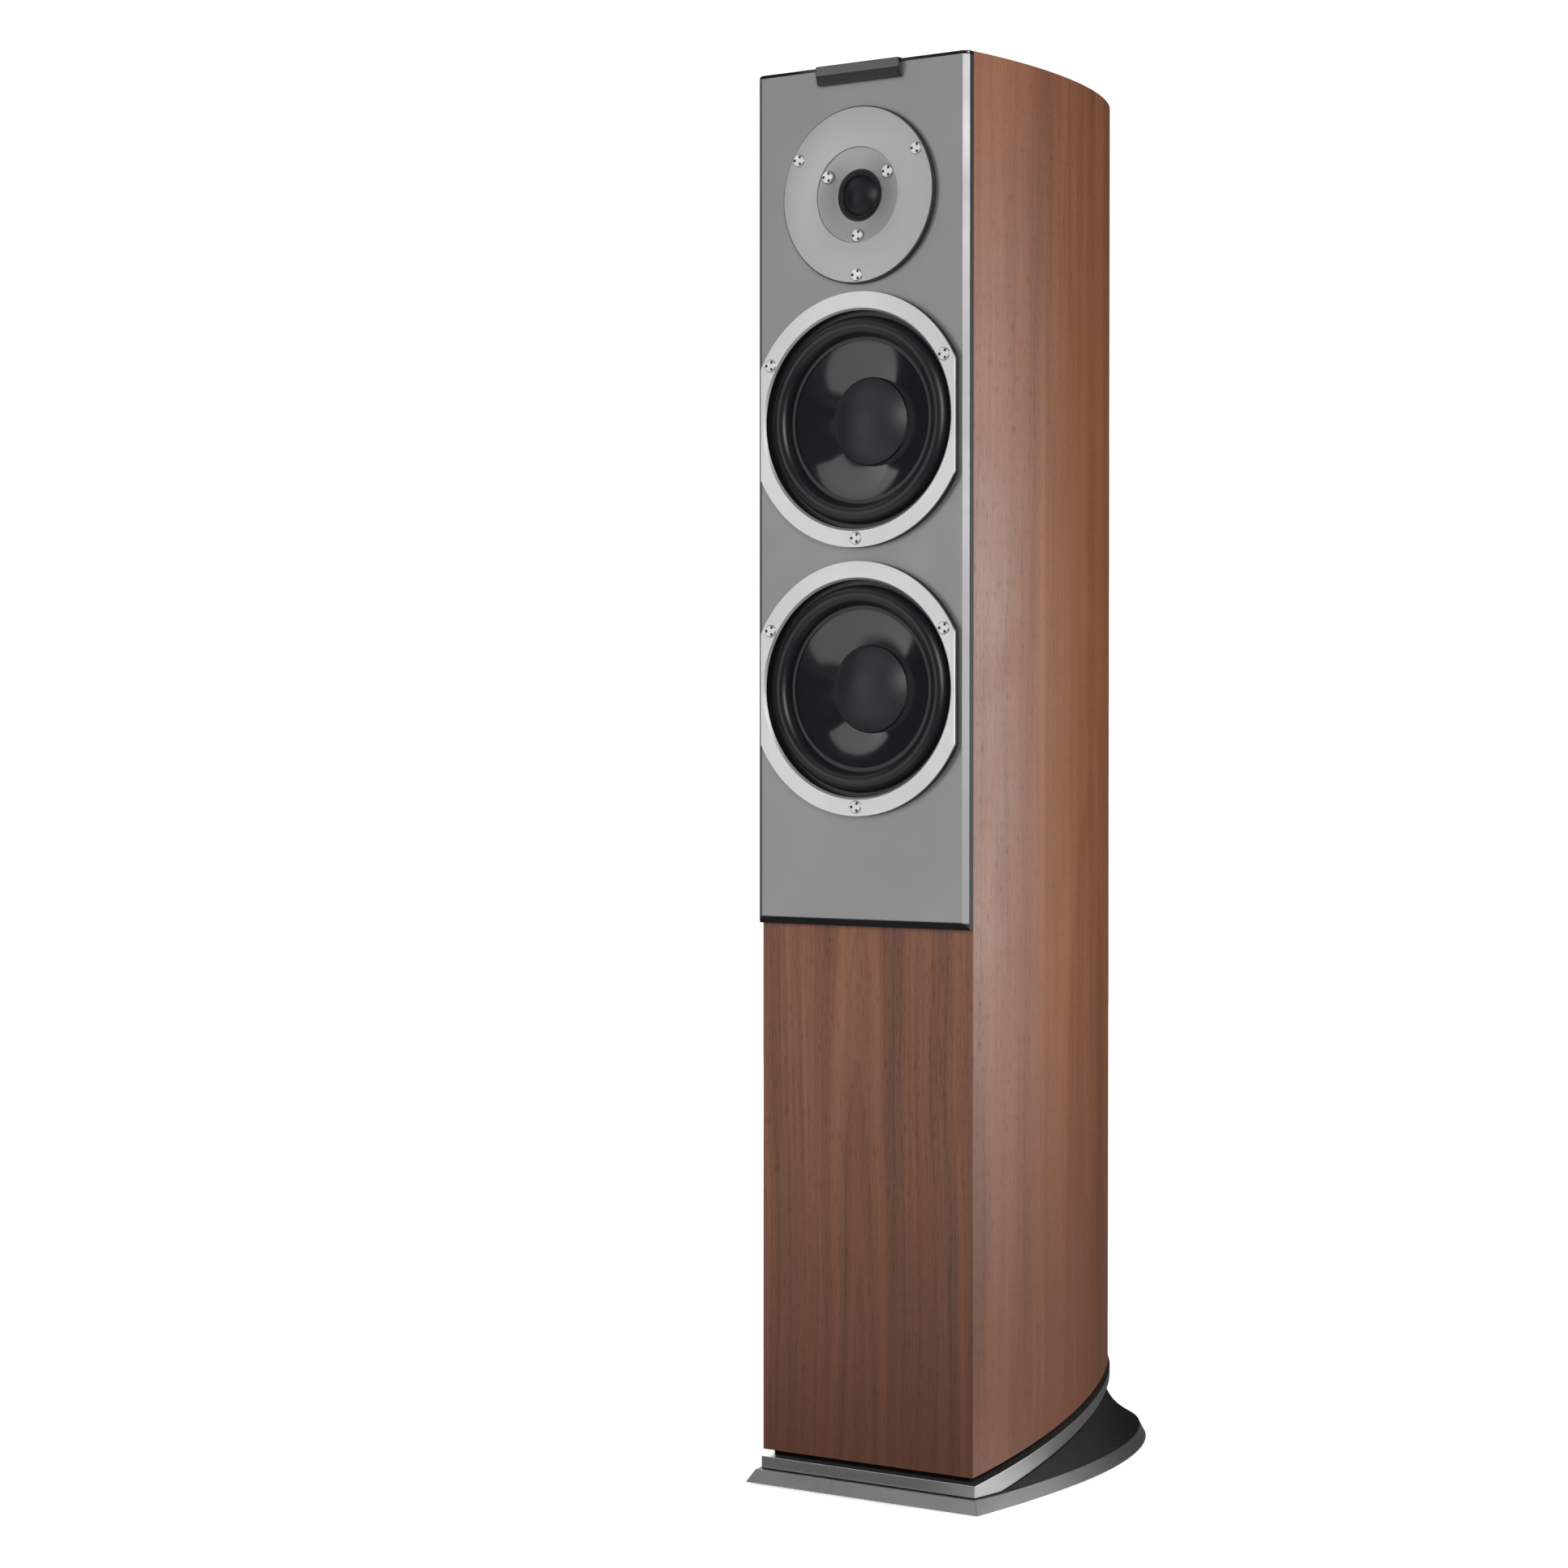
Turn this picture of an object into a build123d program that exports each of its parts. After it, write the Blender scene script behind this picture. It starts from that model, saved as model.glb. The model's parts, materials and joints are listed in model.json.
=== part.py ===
from build123d import *
from math import cos, pi, sqrt
import os

# Floorstanding two-way loudspeaker, rebuilt as an assembly. Millimetres, +Z up, the front faces -Y.
# Origin: centre of the bounding box on the floor plane. "Face" heights are measured from the floor.

# --- overall sizes -----------------------------------------------------------------------------
FOOT_H = 2.0
CABINET_H = 1004.0
HALF_FRONT = 89.1
HALF_MAX = 97.4
BULGE_Y = 88.0
TAIL_R = 212.0
CABINET_DEPTH = 282.0
INCLINE = 0.178

# --- plinth ------------------------------------------------------------------------------------
BASE_T = 9.2
GROOVE = 0.8
UPPER_FRONT_T = 8.5
SPACER_T = 5.5
SPACER_INSET = 6.0
UPPER_REVEAL = 1.6
UPPER_FLAT = 30.0
UPPER_UNDER = 0.21
BASE_TOP_FLARE = 4.2
BASE_FLARE = 9.5
BASE_HALF = 108.0
BASE_BULGE_Y = 120.0
BASE_TAIL = 356.0
BASE_RIM = 5.0
CORE_INSET = 1.5
CORE_RISE = 62.0
CORE_POWER = 2.4
CORE_TAIL = 286.0

# --- cabinet -----------------------------------------------------------------------------------
WALL = 18.0
FRONT_T = 22.0
BACK_HALF = 30.0
BRACE_T = 15.0
BRACE_RIM = 28.0
CORNER_GAP = 0.05

# --- baffle plate and top trim -----------------------------------------------------------------
PLATE_T = 8.0
PLATE_H = 616.7
PLATE_SIDE_BEVEL = 4.5
PLATE_SIDE_DEPTH = 3.0
PLATE_FOOT_BEVEL = 5.5
TRIM_H = 2.4
TAB_HALF = 35.0
TAB_H = 13.5
TAB_PROUD = 5.6
TAB_TAPER = 2.6

# --- drive units -------------------------------------------------------------------------------
WOOFER_PITCH = 192.0
LOW_WOOFER_Z = 583.7
TWEETER_GAP = 160.1
RING_R = 91.0
RING_FLAT = RING_R - 9.3
RING_MOUTH = RING_R - 13.2
RING_T = 6.3
RING_BEVEL = 1.6
FLANGE_LIP = 1.0
FLANGE_T = 6.5
SEAT_GAP = 0.3
BASKET_R = RING_MOUTH - 8.4
BASKET_WALL = 3.4
BASKET_STEP = 20.0
PAN_R = BASKET_R - 19.4
PAN_Z = 46.0
PAN_T = 3.0
PAN_HOLE = 24.0
SPIDER_Z = 33.0
SPIDER_SEAT = 3.0
SPIDER_LIFT = 2.1
SPIDER_WAVE = 1.4
WINDOWS = 6
WINDOW_W = 34.0
LIP_R = RING_MOUTH + 2.2
LIP_T = 2.0
ROLL_R = RING_MOUTH - 10.8
ROLL_HALF = 7.0
ROLL_WALL = 1.2
CONE_R = ROLL_R - 8.4
CONE_WALL = 1.0
CONE_SAG = 2.2
CAP_Z = 13.7
CAP_RISE = 9.5
CAP_WALL = 0.8
NECK_R = 16.9
CAP_R = NECK_R + (CONE_R - NECK_R) * 0.338
NECK_Z = 23.0
FORMER_WALL = 0.6
FORMER_END = 56.0
WINDING_L = 10.0
WINDING_T = 0.6
POLE_R = 15.6
GAP_R = 18.3
TOP_PLATE_T = 6.0
MAGNET_R = 55.0
MAGNET_BORE = 28.0
MAGNET_T = 18.0
YOKE_T = 7.0
VENT_R = 5.0
WOOFER_SCREW_PCR = RING_R - 6.5
SCREW_HEAD_R = 4.6
SCREW_HEAD_T = 1.1
SCREW_R = 2.1
SCREW_FIT = 0.1
SCREW_L = 26.0
DOT_R = 1.1
DOT_PCR = 2.9
DOT_DEPTH = 0.7
SCREW_ANGLES = (30.0, 150.0, 270.0)

# --- tweeter -----------------------------------------------------------------------------------
FACE_R = 62.3
FACE_T = 1.3
BODY_R = 63.2
BODY_T = 3.8
HUB_R = 37.0
HUB_T = 4.0
HUB_BORE = 16.2
DISH_R = 34.0
DISH_EDGE = 4.3
DISH_THROAT = 1.3
THROAT_R = 18.5
DOME_R = 14.0
DOME_RISE = 5.0
DOME_WALL = 0.4
DOME_SEAT = 0.4
TWEETER_ROLL = 0.9
TWEETER_FORMER_L = 8.4
TWEETER_POLE_R = 12.9
TWEETER_GAP_R = 15.0
TWEETER_PLATE_R = 33.0
TWEETER_PLATE_T = 4.0
TWEETER_MAGNET_R = 36.0
TWEETER_MAGNET_BORE = 20.0
TWEETER_MAGNET_T = 10.0
TWEETER_YOKE_T = 5.0
OUTER_SCREW_PCR = 57.0
INNER_SCREW_PCR = 29.0
INNER_SCREW_L = 9.0

# --- rear fittings -----------------------------------------------------------------------------
PORT_Z = 722.0
PORT_R = 22.5
PORT_WALL = 2.5
PORT_L = 130.0
PORT_FLARE_R = 28.5
PORT_FLARE_T = 3.0
PORT_LEAD = 5.0
TERMINAL_Z = 200.0
TERMINAL_W = 54.0
TERMINAL_H = 84.0
TERMINAL_T = 3.0
TERMINAL_CORNER = 5.0
POST_PITCH = 19.05
POST_R = 4.0
POST_BORE = 2.0
POST_BORE_L = 20.0
POST_OUT = 24.0
POST_TAIL = 9.0
POST_NUT_R = 6.0
POST_NUT_T = 3.0
POST_FIT = 0.08
KNOB_R = 7.4
KNOB_L = 15.0
KNOB_RIBS = 12
KNOB_RIB_R = 0.9
WASHER_R = 6.4
WASHER_T = 1.2
PLATE_SCREW_R = 1.6
PLATE_SCREW_HEAD = 3.0
PLATE_SCREW_L = 12.0
PLATE_SCREW_INSET = 6.0

# --- crossover, wadding, wiring ----------------------------------------------------------------
BOARD_W = 112.0
BOARD_H = 150.0
BOARD_T = 1.6
BOARD_Z = 215.0
BOARD_GAP = 6.0
STANDOFF_R = 4.0
INDUCTOR_R = 20.0
INDUCTOR_BORE = 9.0
INDUCTOR_T = 18.0
CAP_BODY_R = 9.0
CAP_BODY_L = 40.0
WADDING_T = 48.0
WADDING_H = 150.0
WIRE_R = 2.4
WIRE_BEND = 9.0

# --- floor fixings -----------------------------------------------------------------------------
PAD_R = 9.0
SPIKE_R = 4.0
SPIKE_X = 130.0
SPIKE_Y = 210.0
SPIKE_FRONT = 45.0
BOLT_R = 3.0
BOLT_HEAD_R = 6.0
BOLT_HEAD_T = 5.0
BOLT_GRIP = 12.0
BOLT_FIT = 0.1
FRONT_BOLT = (60.0, 60.0)
REAR_BOLT = (50.0, CABINET_DEPTH - 67.0)

# --- derived -----------------------------------------------------------------------------------
PLINTH_H = FOOT_H + BASE_T + GROOVE + UPPER_FRONT_T + SPACER_T
TOP_Z = PLINTH_H + CABINET_H
FACE_PROUD = PLATE_T + RING_T
FRONT_Y = FACE_PROUD - (FACE_PROUD + BASE_TAIL) / 2
PLATE_Y = FRONT_Y - PLATE_T
BACK_Y = FRONT_Y + CABINET_DEPTH
BASE_TOP = FOOT_H + BASE_T
HIGH_WOOFER_Z = LOW_WOOFER_Z + WOOFER_PITCH
TWEETER_Z = HIGH_WOOFER_Z + TWEETER_GAP
PLATE_FOOT_Z = TOP_Z - PLATE_H
MID_BRACE_Z = (LOW_WOOFER_Z + HIGH_WOOFER_Z) / 2
HIGH_BRACE_Z = HIGH_WOOFER_Z + RING_R - 2.0
LOW_BRACE_Z = LOW_WOOFER_Z - RING_R * 1.45
BIG = 2000.0


def plan(half_front, front_y, half_max, max_y, tail_y):
    """Plan outline: straight front, bowed flanks and one half-ellipse closing the tail."""
    front = Line((-half_front, front_y), (half_front, front_y))
    right = TangentArc((half_max, max_y), (half_front, front_y), tangent=(0, -1))
    tail = EllipticalCenterArc((0, max_y), half_max, tail_y - max_y, start_angle=0, arc_size=180)
    left = TangentArc((-half_max, max_y), (-half_front, front_y), tangent=(0, -1))
    return Pos(0, FRONT_Y) * make_face([front, right, tail, left])


def cabinet_plan(inset):
    """Cabinet outline brought in all round, with its tail cut square by the back."""
    outline = plan(HALF_FRONT - inset, inset, HALF_MAX - inset, BULGE_Y, BULGE_Y + TAIL_R - inset)
    keep = Pos(0, BACK_Y - inset - BIG / 2) * Rectangle(BIG, BIG)
    return outline & keep


def cabinet_inside():
    """Plan of the cavity behind the front board."""
    return cabinet_plan(WALL) - front_wedge()


def prism(outline, low, high):
    """Upright solid on a plan outline between two heights."""
    return extrude(Pos(0, 0, low) * outline, amount=high - low)


def side_cut(*points):
    """Bar across the whole width from (depth behind the front, height) corners."""
    face = make_face(Polyline(*points, close=True))
    return Pos(0, FRONT_Y, 0) * extrude(Plane.YZ * face, amount=BIG / 2, both=True)


def incline(depth, rise):
    """Point on the cabinet's sloping underside, raised by a given amount."""
    return (depth, PLINTH_H + INCLINE * depth + rise)


def above_incline(rise):
    """Everything above the sloping underside."""
    low = incline(-BIG / 4, rise)
    far = incline(BIG / 2, rise)
    return side_cut(low, far, (BIG / 2, BIG), (-BIG / 4, BIG))


def slab(outline, low_rise, high_rise):
    """Sloping slab parallel to the underside, trimmed to an outline."""
    body = prism(outline, 0, TOP_Z)
    return body & above_incline(low_rise) - above_incline(high_rise)


def driver(height):
    """Driver frame: origin on the plate's face, local +Z forwards, local +Y up."""
    return Plane(origin=(0, PLATE_Y, height), x_dir=(1, 0, 0), z_dir=(0, -1, 0))


def place(shape, height):
    """Put a part that was drawn about the local Z axis on the driver axis at a height."""
    return driver(height).location * shape


def turned(*points):
    """Solid of revolution from (radius, level) corners."""
    return revolve(Plane.XZ * make_face(Polyline(*points, close=True)), Axis.Z)


def turned_band(edge, wall):
    """Thin shell of revolution: one profile curve and the same curve set back by the wall."""
    back = Pos(0, -wall) * edge
    start = Line(edge @ 0, back @ 0)
    end = Line(edge @ 1, back @ 1)
    return revolve(Plane.XZ * make_face([edge, start, back, end]), Axis.Z)


def tube(outer, inner, low, high):
    """Plain ring between two levels."""
    return turned((inner, low), (outer, low), (outer, high), (inner, high))


def cap_shell(radius, rise, wall, level):
    """Spherical cap shell whose rim stands at a level."""
    ball = (radius ** 2 + rise ** 2) / (2 * rise)
    centre = level + rise - ball
    inner_ball = ball - wall
    inner_rim = sqrt(inner_ball ** 2 - (ball - rise) ** 2)
    half = 0.5 * (1 - rise / ball + 1)
    outer = ThreePointArc((radius, level), spot(ball, centre, half), (0, centre + ball))
    inner = ThreePointArc((inner_rim, level), spot(inner_ball, centre, half), (0, centre + inner_ball))
    rim = Line((radius, level), (inner_rim, level))
    axis = Line((0, centre + ball), (0, centre + inner_ball))
    return revolve(Plane.XZ * make_face([outer, axis, inner, rim]), Axis.Z)


def spot(ball, centre, height_share):
    """Point on a circle round the axis at a share of its radius above the centre."""
    return (ball * sqrt(1 - height_share ** 2), centre + ball * height_share)


def around(shape, pcr, angles):
    """Copies of a shape on a pitch circle."""
    return [Rot(0, 0, angle) * Pos(pcr, 0, 0) * shape for angle in angles]


def flat_sided(radius, flat, low, high):
    """Disc with two upright flats."""
    disc = Circle(radius) & Rectangle(2 * flat, BIG)
    return extrude(Pos(0, 0, low) * disc, amount=high - low)


def hole(radius, low, high):
    """Cutter for a round hole between two levels."""
    return Pos(0, 0, low) * Cylinder(radius, high - low, align=(Align.CENTER, Align.CENTER, Align.MIN))


def screw(head_r, head_t, shank_r, length, level):
    """Low round-headed screw with three blind spanner holes, its head standing at a level."""
    body = turned((0, level - length), (shank_r, level - length), (shank_r, level), (head_r, level),
                  (head_r, level + head_t / 2), (head_r - head_t / 2, level + head_t), (0, level + head_t))
    dots = around(hole(DOT_R, level + head_t - DOT_DEPTH, level + BIG), DOT_PCR, SCREW_ANGLES)
    return body - dots


def save(shape, name):
    """Write one node."""
    export_step(shape, f"parts/{name}.step")


# ------------------------------------------------------------------------------- cabinet panels
def front_wedge():
    """Mitred front board region: as wide as the cabinet outside, narrower inside."""
    face = Polyline((-HALF_FRONT, 0), (HALF_FRONT, 0), (HALF_FRONT - FRONT_T, FRONT_T),
                    (FRONT_T - HALF_FRONT, FRONT_T), close=True)
    return Pos(0, FRONT_Y) * make_face(face)


def driver_openings(radius_low, radius_high):
    """Round cutters on the three driver axes."""
    depth = PLATE_T + FRONT_T + 1
    woofers = [place(hole(radius_low, -depth, 1), z) for z in (LOW_WOOFER_Z, HIGH_WOOFER_Z)]
    return woofers + [place(hole(radius_high, -depth, 1), TWEETER_Z)]


def screw_holes():
    """Pilot holes for the ring and tweeter screws."""
    bore = hole(SCREW_R + SCREW_FIT, -SCREW_L, RING_T + 1)
    spots = [place(item, LOW_WOOFER_Z) for item in around(bore, WOOFER_SCREW_PCR, SCREW_ANGLES)]
    spots += [place(item, HIGH_WOOFER_Z) for item in around(bore, WOOFER_SCREW_PCR, SCREW_ANGLES)]
    return spots + [place(item, TWEETER_Z) for item in around(bore, OUTER_SCREW_PCR, SCREW_ANGLES)]


def front_board():
    """Front board with the driver cut-outs, foot cut to the slope."""
    board = prism(front_wedge(), 0, TOP_Z) & above_incline(0)
    board -= driver_openings(BASKET_R + SEAT_GAP, HUB_R + SEAT_GAP)
    return board - screw_holes()


def side_panels():
    """Left and right bent panels, mitred to the front board and butted to the back panel."""
    ring = cabinet_plan(0) - cabinet_plan(WALL) - front_wedge() - back_strip()
    shell = prism(ring, 0, TOP_Z) & above_incline(0)
    return sorted(shell.solids(), key=lambda solid: solid.center().X)


def back_strip():
    """Plan of the flat back panel."""
    return Pos(0, BACK_Y - WALL / 2) * Rectangle(2 * BACK_HALF, WALL)


def back_panel():
    """Back panel with the port and binding post holes."""
    panel = prism(back_strip(), 0, TOP_Z) & above_incline(0)
    panel -= rear(hole(PORT_R + PORT_WALL + CORNER_GAP, -2 * WALL, 1), 0, PORT_Z)
    panel -= [rear(hole(POST_R + SEAT_GAP, -2 * WALL, 1), x, TERMINAL_Z) for x in post_xs()]
    return panel - [rear(hole(PLATE_SCREW_R + SCREW_FIT, -PLATE_SCREW_L, 1), x, TERMINAL_Z + z)
                    for x, z in plate_screw_spots()]


def top_panel():
    """Top board let in between the walls."""
    return prism(cabinet_inside(), TOP_Z - WALL, TOP_Z)


def bottom_panel():
    """Sloping bottom board with threaded inserts for the plinth bolts."""
    board = slab(cabinet_inside(), 0, WALL)
    return board - bolt_holes(BOLT_R + BOLT_FIT)


def shelf_braces():
    """Three windowed shelves that tie the walls together."""
    shelf = cabinet_inside() - cabinet_plan(WALL + BRACE_RIM)
    levels = (LOW_BRACE_Z, MID_BRACE_Z, HIGH_BRACE_Z)
    return [prism(shelf, z - BRACE_T / 2, z + BRACE_T / 2) for z in levels]


def damping_wadding():
    """Blocks of soft wadding held against the back wall."""
    depth = CABINET_DEPTH - WALL - WADDING_T
    keep = Pos(0, FRONT_Y + depth + BIG / 2) * Rectangle(BIG, BIG)
    block = cabinet_plan(WALL + SEAT_GAP) & keep
    levels = (LOW_WOOFER_Z, TERMINAL_Z + TERMINAL_H + WADDING_H / 2)
    return [prism(block, z - WADDING_H / 2, z + WADDING_H / 2) for z in levels]


# ------------------------------------------------------------------- baffle plate and top trim
def plate_outline():
    """Cross section of the plate in plan: square back, bevelled long edges."""
    return Polyline((-HALF_FRONT, 0), (HALF_FRONT, 0), (HALF_FRONT, PLATE_SIDE_DEPTH - PLATE_T),
                    (HALF_FRONT - PLATE_SIDE_BEVEL, -PLATE_T), (PLATE_SIDE_BEVEL - HALF_FRONT, -PLATE_T),
                    (-HALF_FRONT, PLATE_SIDE_DEPTH - PLATE_T), close=True)


def baffle_plate():
    """Thick front plate, let through for the drivers, its foot bevelled underneath."""
    plate = prism(Pos(0, FRONT_Y) * make_face(plate_outline()), PLATE_FOOT_Z, TOP_Z - TRIM_H)
    edge_z = PLATE_FOOT_Z + PLATE_FOOT_BEVEL
    below = PLATE_FOOT_Z - 1
    plate -= side_cut((-PLATE_T - 1, edge_z), (-PLATE_T, edge_z), (-PLATE_T / 2, PLATE_FOOT_Z),
                      (-PLATE_T / 2, below), (-PLATE_T - 1, below))
    flange = flat_sided(RING_R - FLANGE_LIP + SEAT_GAP, RING_FLAT - FLANGE_LIP + SEAT_GAP, -PLATE_T - 1, 1)
    plate -= [place(flange, z) for z in (LOW_WOOFER_Z, HIGH_WOOFER_Z)]
    plate -= place(hole(HUB_R + SEAT_GAP, -PLATE_T - 1, 1), TWEETER_Z)
    return plate - screw_holes()


def top_trim():
    """Black strip over the plate with a blank tab hanging at its middle."""
    strip = prism(Pos(0, FRONT_Y) * make_face(plate_outline()), TOP_Z - TRIM_H, TOP_Z)
    tip = -PLATE_T - TAB_PROUD
    tab = side_cut((-PLATE_T, TOP_Z), (tip, TOP_Z), (tip, TOP_Z - TAB_H / 2),
                   (tip + TAB_TAPER, TOP_Z - TAB_H), (-PLATE_T, TOP_Z - TAB_H))
    tab &= Pos(0, 0, TOP_Z) * Box(2 * TAB_HALF, BIG, BIG)
    return strip + tab


# ---------------------------------------------------------------------------------------- plinth
def upper_plan():
    """Outline of the sloping plate under the cabinet."""
    outline = plan(HALF_FRONT + UPPER_REVEAL, 0, HALF_MAX + UPPER_REVEAL, BULGE_Y,
                   BULGE_Y + TAIL_R + UPPER_REVEAL)
    keep = Pos(0, BACK_Y + UPPER_REVEAL - BIG / 2) * Rectangle(BIG, BIG)
    return outline & keep


def under_upper():
    """Underside of the upper plate: level at the front, then climbing to the rear."""
    level = BASE_TOP + GROOVE
    rise = level + UPPER_UNDER * (CABINET_DEPTH * 1.2 - UPPER_FLAT)
    return ((-BIG / 4, level), (UPPER_FLAT, level), (CABINET_DEPTH * 1.2, rise))


def plinth_upper_plate():
    """Silver plate parallel to the cabinet's underside."""
    far = incline(CABINET_DEPTH * 1.2, -SPACER_T)
    front = incline(-UPPER_FLAT, -SPACER_T)
    level = BASE_TOP + GROOVE
    body = side_cut((-UPPER_FLAT, level), *under_upper()[1:], far, front)
    return (prism(upper_plan(), 0, TOP_Z) & body) - bolt_holes(BOLT_R + BOLT_FIT)


def plinth_spacer():
    """Recessed black packer that leaves a shadow gap under the cabinet."""
    return slab(cabinet_plan(SPACER_INSET), -SPACER_T, 0) - bolt_holes(BOLT_R + BOLT_FIT)


def core_section(share):
    """Level outline of the core, drawn in fast near the floor and slowly above it."""
    pull = (1 - share) ** CORE_POWER
    half_front = HALF_FRONT + BASE_TOP_FLARE - CORE_INSET - (BASE_TOP_FLARE - UPPER_REVEAL) * (1 - pull)
    half_max = HALF_MAX + (BASE_HALF - BASE_RIM - HALF_MAX) * pull
    max_y = BULGE_Y + (BASE_BULGE_Y - BULGE_Y) * pull
    tail_y = CORE_TAIL + (BASE_TAIL - BASE_RIM - CORE_TAIL) * pull
    return plan(half_front, CORE_INSET, half_max, max_y, tail_y)


def plinth_core():
    """Black flared body between the base plate and the upper plate."""
    shares = (0, 0.25, 0.5, 0.75, 1)
    body = loft([Pos(0, 0, BASE_TOP + share * CORE_RISE) * core_section(share) for share in shares])
    floor = (CABINET_DEPTH * 1.5, BASE_TOP)
    peak = under_upper()[2]
    flat = under_upper()[1]
    beyond = (CABINET_DEPTH * 1.5, peak[1])
    front = (-UPPER_FLAT, flat[1])
    body &= side_cut((-UPPER_FLAT, BASE_TOP), floor, beyond, peak, flat, front)
    return body - bolt_holes(BOLT_R + BOLT_FIT)


def base_section(spread):
    """Outline of the base plate with its front corners spread."""
    return plan(HALF_FRONT + spread, -spread, BASE_HALF - BASE_FLARE + spread, BASE_BULGE_Y,
                BASE_TAIL - BASE_FLARE + spread)


def plinth_base_plate():
    """Silver base plate, flared towards the floor, with spike threads and bolt counterbores."""
    low = Pos(0, 0, FOOT_H) * base_section(BASE_FLARE)
    high = Pos(0, 0, BASE_TOP) * base_section(BASE_TOP_FLARE)
    plate = loft([low, high], ruled=True)
    plate -= bolt_holes(BOLT_R + BOLT_FIT)
    plate -= [hole_at(x, y, BOLT_HEAD_R + SEAT_GAP, 0, FOOT_H + BOLT_HEAD_T) for x, y in bolt_spots()]
    return plate - [hole_at(x, y, SPIKE_R, 0, BASE_TOP + 1) for x, y in spike_spots()]


def hole_at(x, y, radius, low, high):
    """Upright cutter at a plan position, y counted from the cabinet's front."""
    return Pos(x, FRONT_Y + y, 0) * hole(radius, low, high)


def both_sides(spots):
    """Each spot on the right and its mirror on the left."""
    return [(side * x, y) for x, y in spots for side in (-1, 1)]


def spike_spots():
    """Rectangle of spike threads."""
    return both_sides(((SPIKE_X / 2, SPIKE_FRONT), (SPIKE_X / 2, SPIKE_FRONT + SPIKE_Y)))


def bolt_spots():
    """The four bolts that draw cabinet and plinth together."""
    return both_sides((FRONT_BOLT, REAR_BOLT))


def bolt_top(y):
    """Height reached by a bolt inside the bottom board."""
    return incline(y, BOLT_GRIP)[1]


def bolt_holes(radius):
    """Cutters along the four plinth bolts."""
    return [hole_at(x, y, radius, 0, bolt_top(y) + SEAT_GAP) for x, y in bolt_spots()]


def plinth_bolts():
    """Cap-head bolts from under the base plate into the bottom board."""
    seat = FOOT_H + BOLT_HEAD_T
    return [hole_at(x, y, BOLT_R, seat, bolt_top(y))
            + hole_at(x, y, BOLT_HEAD_R, seat - BOLT_HEAD_T + SEAT_GAP, seat) for x, y in bolt_spots()]


def feet():
    """Soft pads under the base plate."""
    front = (HALF_FRONT - PAD_R, PAD_R * 2)
    rear_pad = (BASE_HALF * 0.4, BASE_TAIL - PAD_R * 6)
    return [hole_at(x, y, PAD_R, 0, FOOT_H) for x, y in both_sides((front, rear_pad))]


# --------------------------------------------------------------------------------------- woofers
def trim_ring():
    """Bright ring with upright flats and a bevelled mouth."""
    ring = flat_sided(RING_R, RING_FLAT, 0, RING_T)
    ring -= hole(RING_MOUTH, -1, RING_T + 1)
    mouth = turned((0, RING_T - RING_BEVEL), (RING_MOUTH, RING_T - RING_BEVEL),
                   (RING_MOUTH + RING_BEVEL, RING_T), (0, RING_T))
    return ring - mouth - around(hole(SCREW_R + SCREW_FIT, -1, RING_T + 1), WOOFER_SCREW_PCR, SCREW_ANGLES)


def basket():
    """Cast chassis: flange, stepped wall with windows, spider seat and magnet pan."""
    inner = BASKET_R - BASKET_WALL
    seat_r = PAN_R + BASKET_WALL * 2
    flange = flat_sided(RING_R - FLANGE_LIP, RING_FLAT - FLANGE_LIP, -FLANGE_T, 0)
    flange -= hole(inner, -BIG / 10, 1)
    flange -= hole(LIP_R + SCREW_FIT, -LIP_T, 1)
    wall = turned((inner, -FLANGE_T), (BASKET_R, -FLANGE_T), (BASKET_R, -BASKET_STEP),
                  (PAN_R, -PAN_Z), (PAN_HOLE, -PAN_Z), (PAN_HOLE, PAN_T - PAN_Z),
                  (PAN_R - BASKET_WALL, PAN_T - PAN_Z), (PAN_R, -SPIDER_Z - SPIDER_SEAT),
                  (PAN_R, -SPIDER_Z), (seat_r, -SPIDER_Z), (inner, -BASKET_STEP - 1))
    angles = [360 * step / WINDOWS for step in range(WINDOWS)]
    height = SPIDER_Z - 1 - FLANGE_T - 4
    window = Pos(0, 0, -SPIDER_Z + 1 + height / 2) * Box(PAN_R, WINDOW_W, height)
    frame = flange + wall - around(window, seat_r + BASKET_WALL * 3, angles)
    return frame - around(hole(SCREW_R + SCREW_FIT, -FLANGE_T - 1, 1), WOOFER_SCREW_PCR, SCREW_ANGLES)


def woofer_gasket():
    """Thin foam ring between flange and front board."""
    gasket = flat_sided(RING_R - FLANGE_LIP, RING_FLAT - FLANGE_LIP, -PLATE_T, -FLANGE_T)
    gasket -= hole(BASKET_R + SEAT_GAP, -PLATE_T - 1, 0)
    return gasket - around(hole(SCREW_R + SCREW_FIT, -PLATE_T - 1, 1), WOOFER_SCREW_PCR, SCREW_ANGLES)


def half_roll(mean, half, wall, lip_in, lip_out, level):
    """Half-roll surround section revolved, with a flat lip on each side."""
    outer = Circle(half + wall / 2) - Circle(half - wall / 2)
    arch = Pos(mean, level) * (outer & Pos(0, BIG / 2) * Rectangle(BIG, BIG))
    inner_lip = lip(lip_in, mean - half + wall / 2, level, wall)
    outer_lip = lip(mean + half - wall / 2, lip_out, level, wall)
    return revolve(Plane.XZ * (arch + inner_lip + outer_lip), Axis.Z)


def lip(near, far, level, wall):
    """Flat lip section standing on a level."""
    return Pos((near + far) / 2, level + wall / 2) * Rectangle(far - near, wall)


def woofer_surround():
    """Rubber half roll from the cone's edge to the flange rebate."""
    return half_roll(ROLL_R, ROLL_HALF, ROLL_WALL, CONE_R - LIP_T, LIP_R, -LIP_T)


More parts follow.
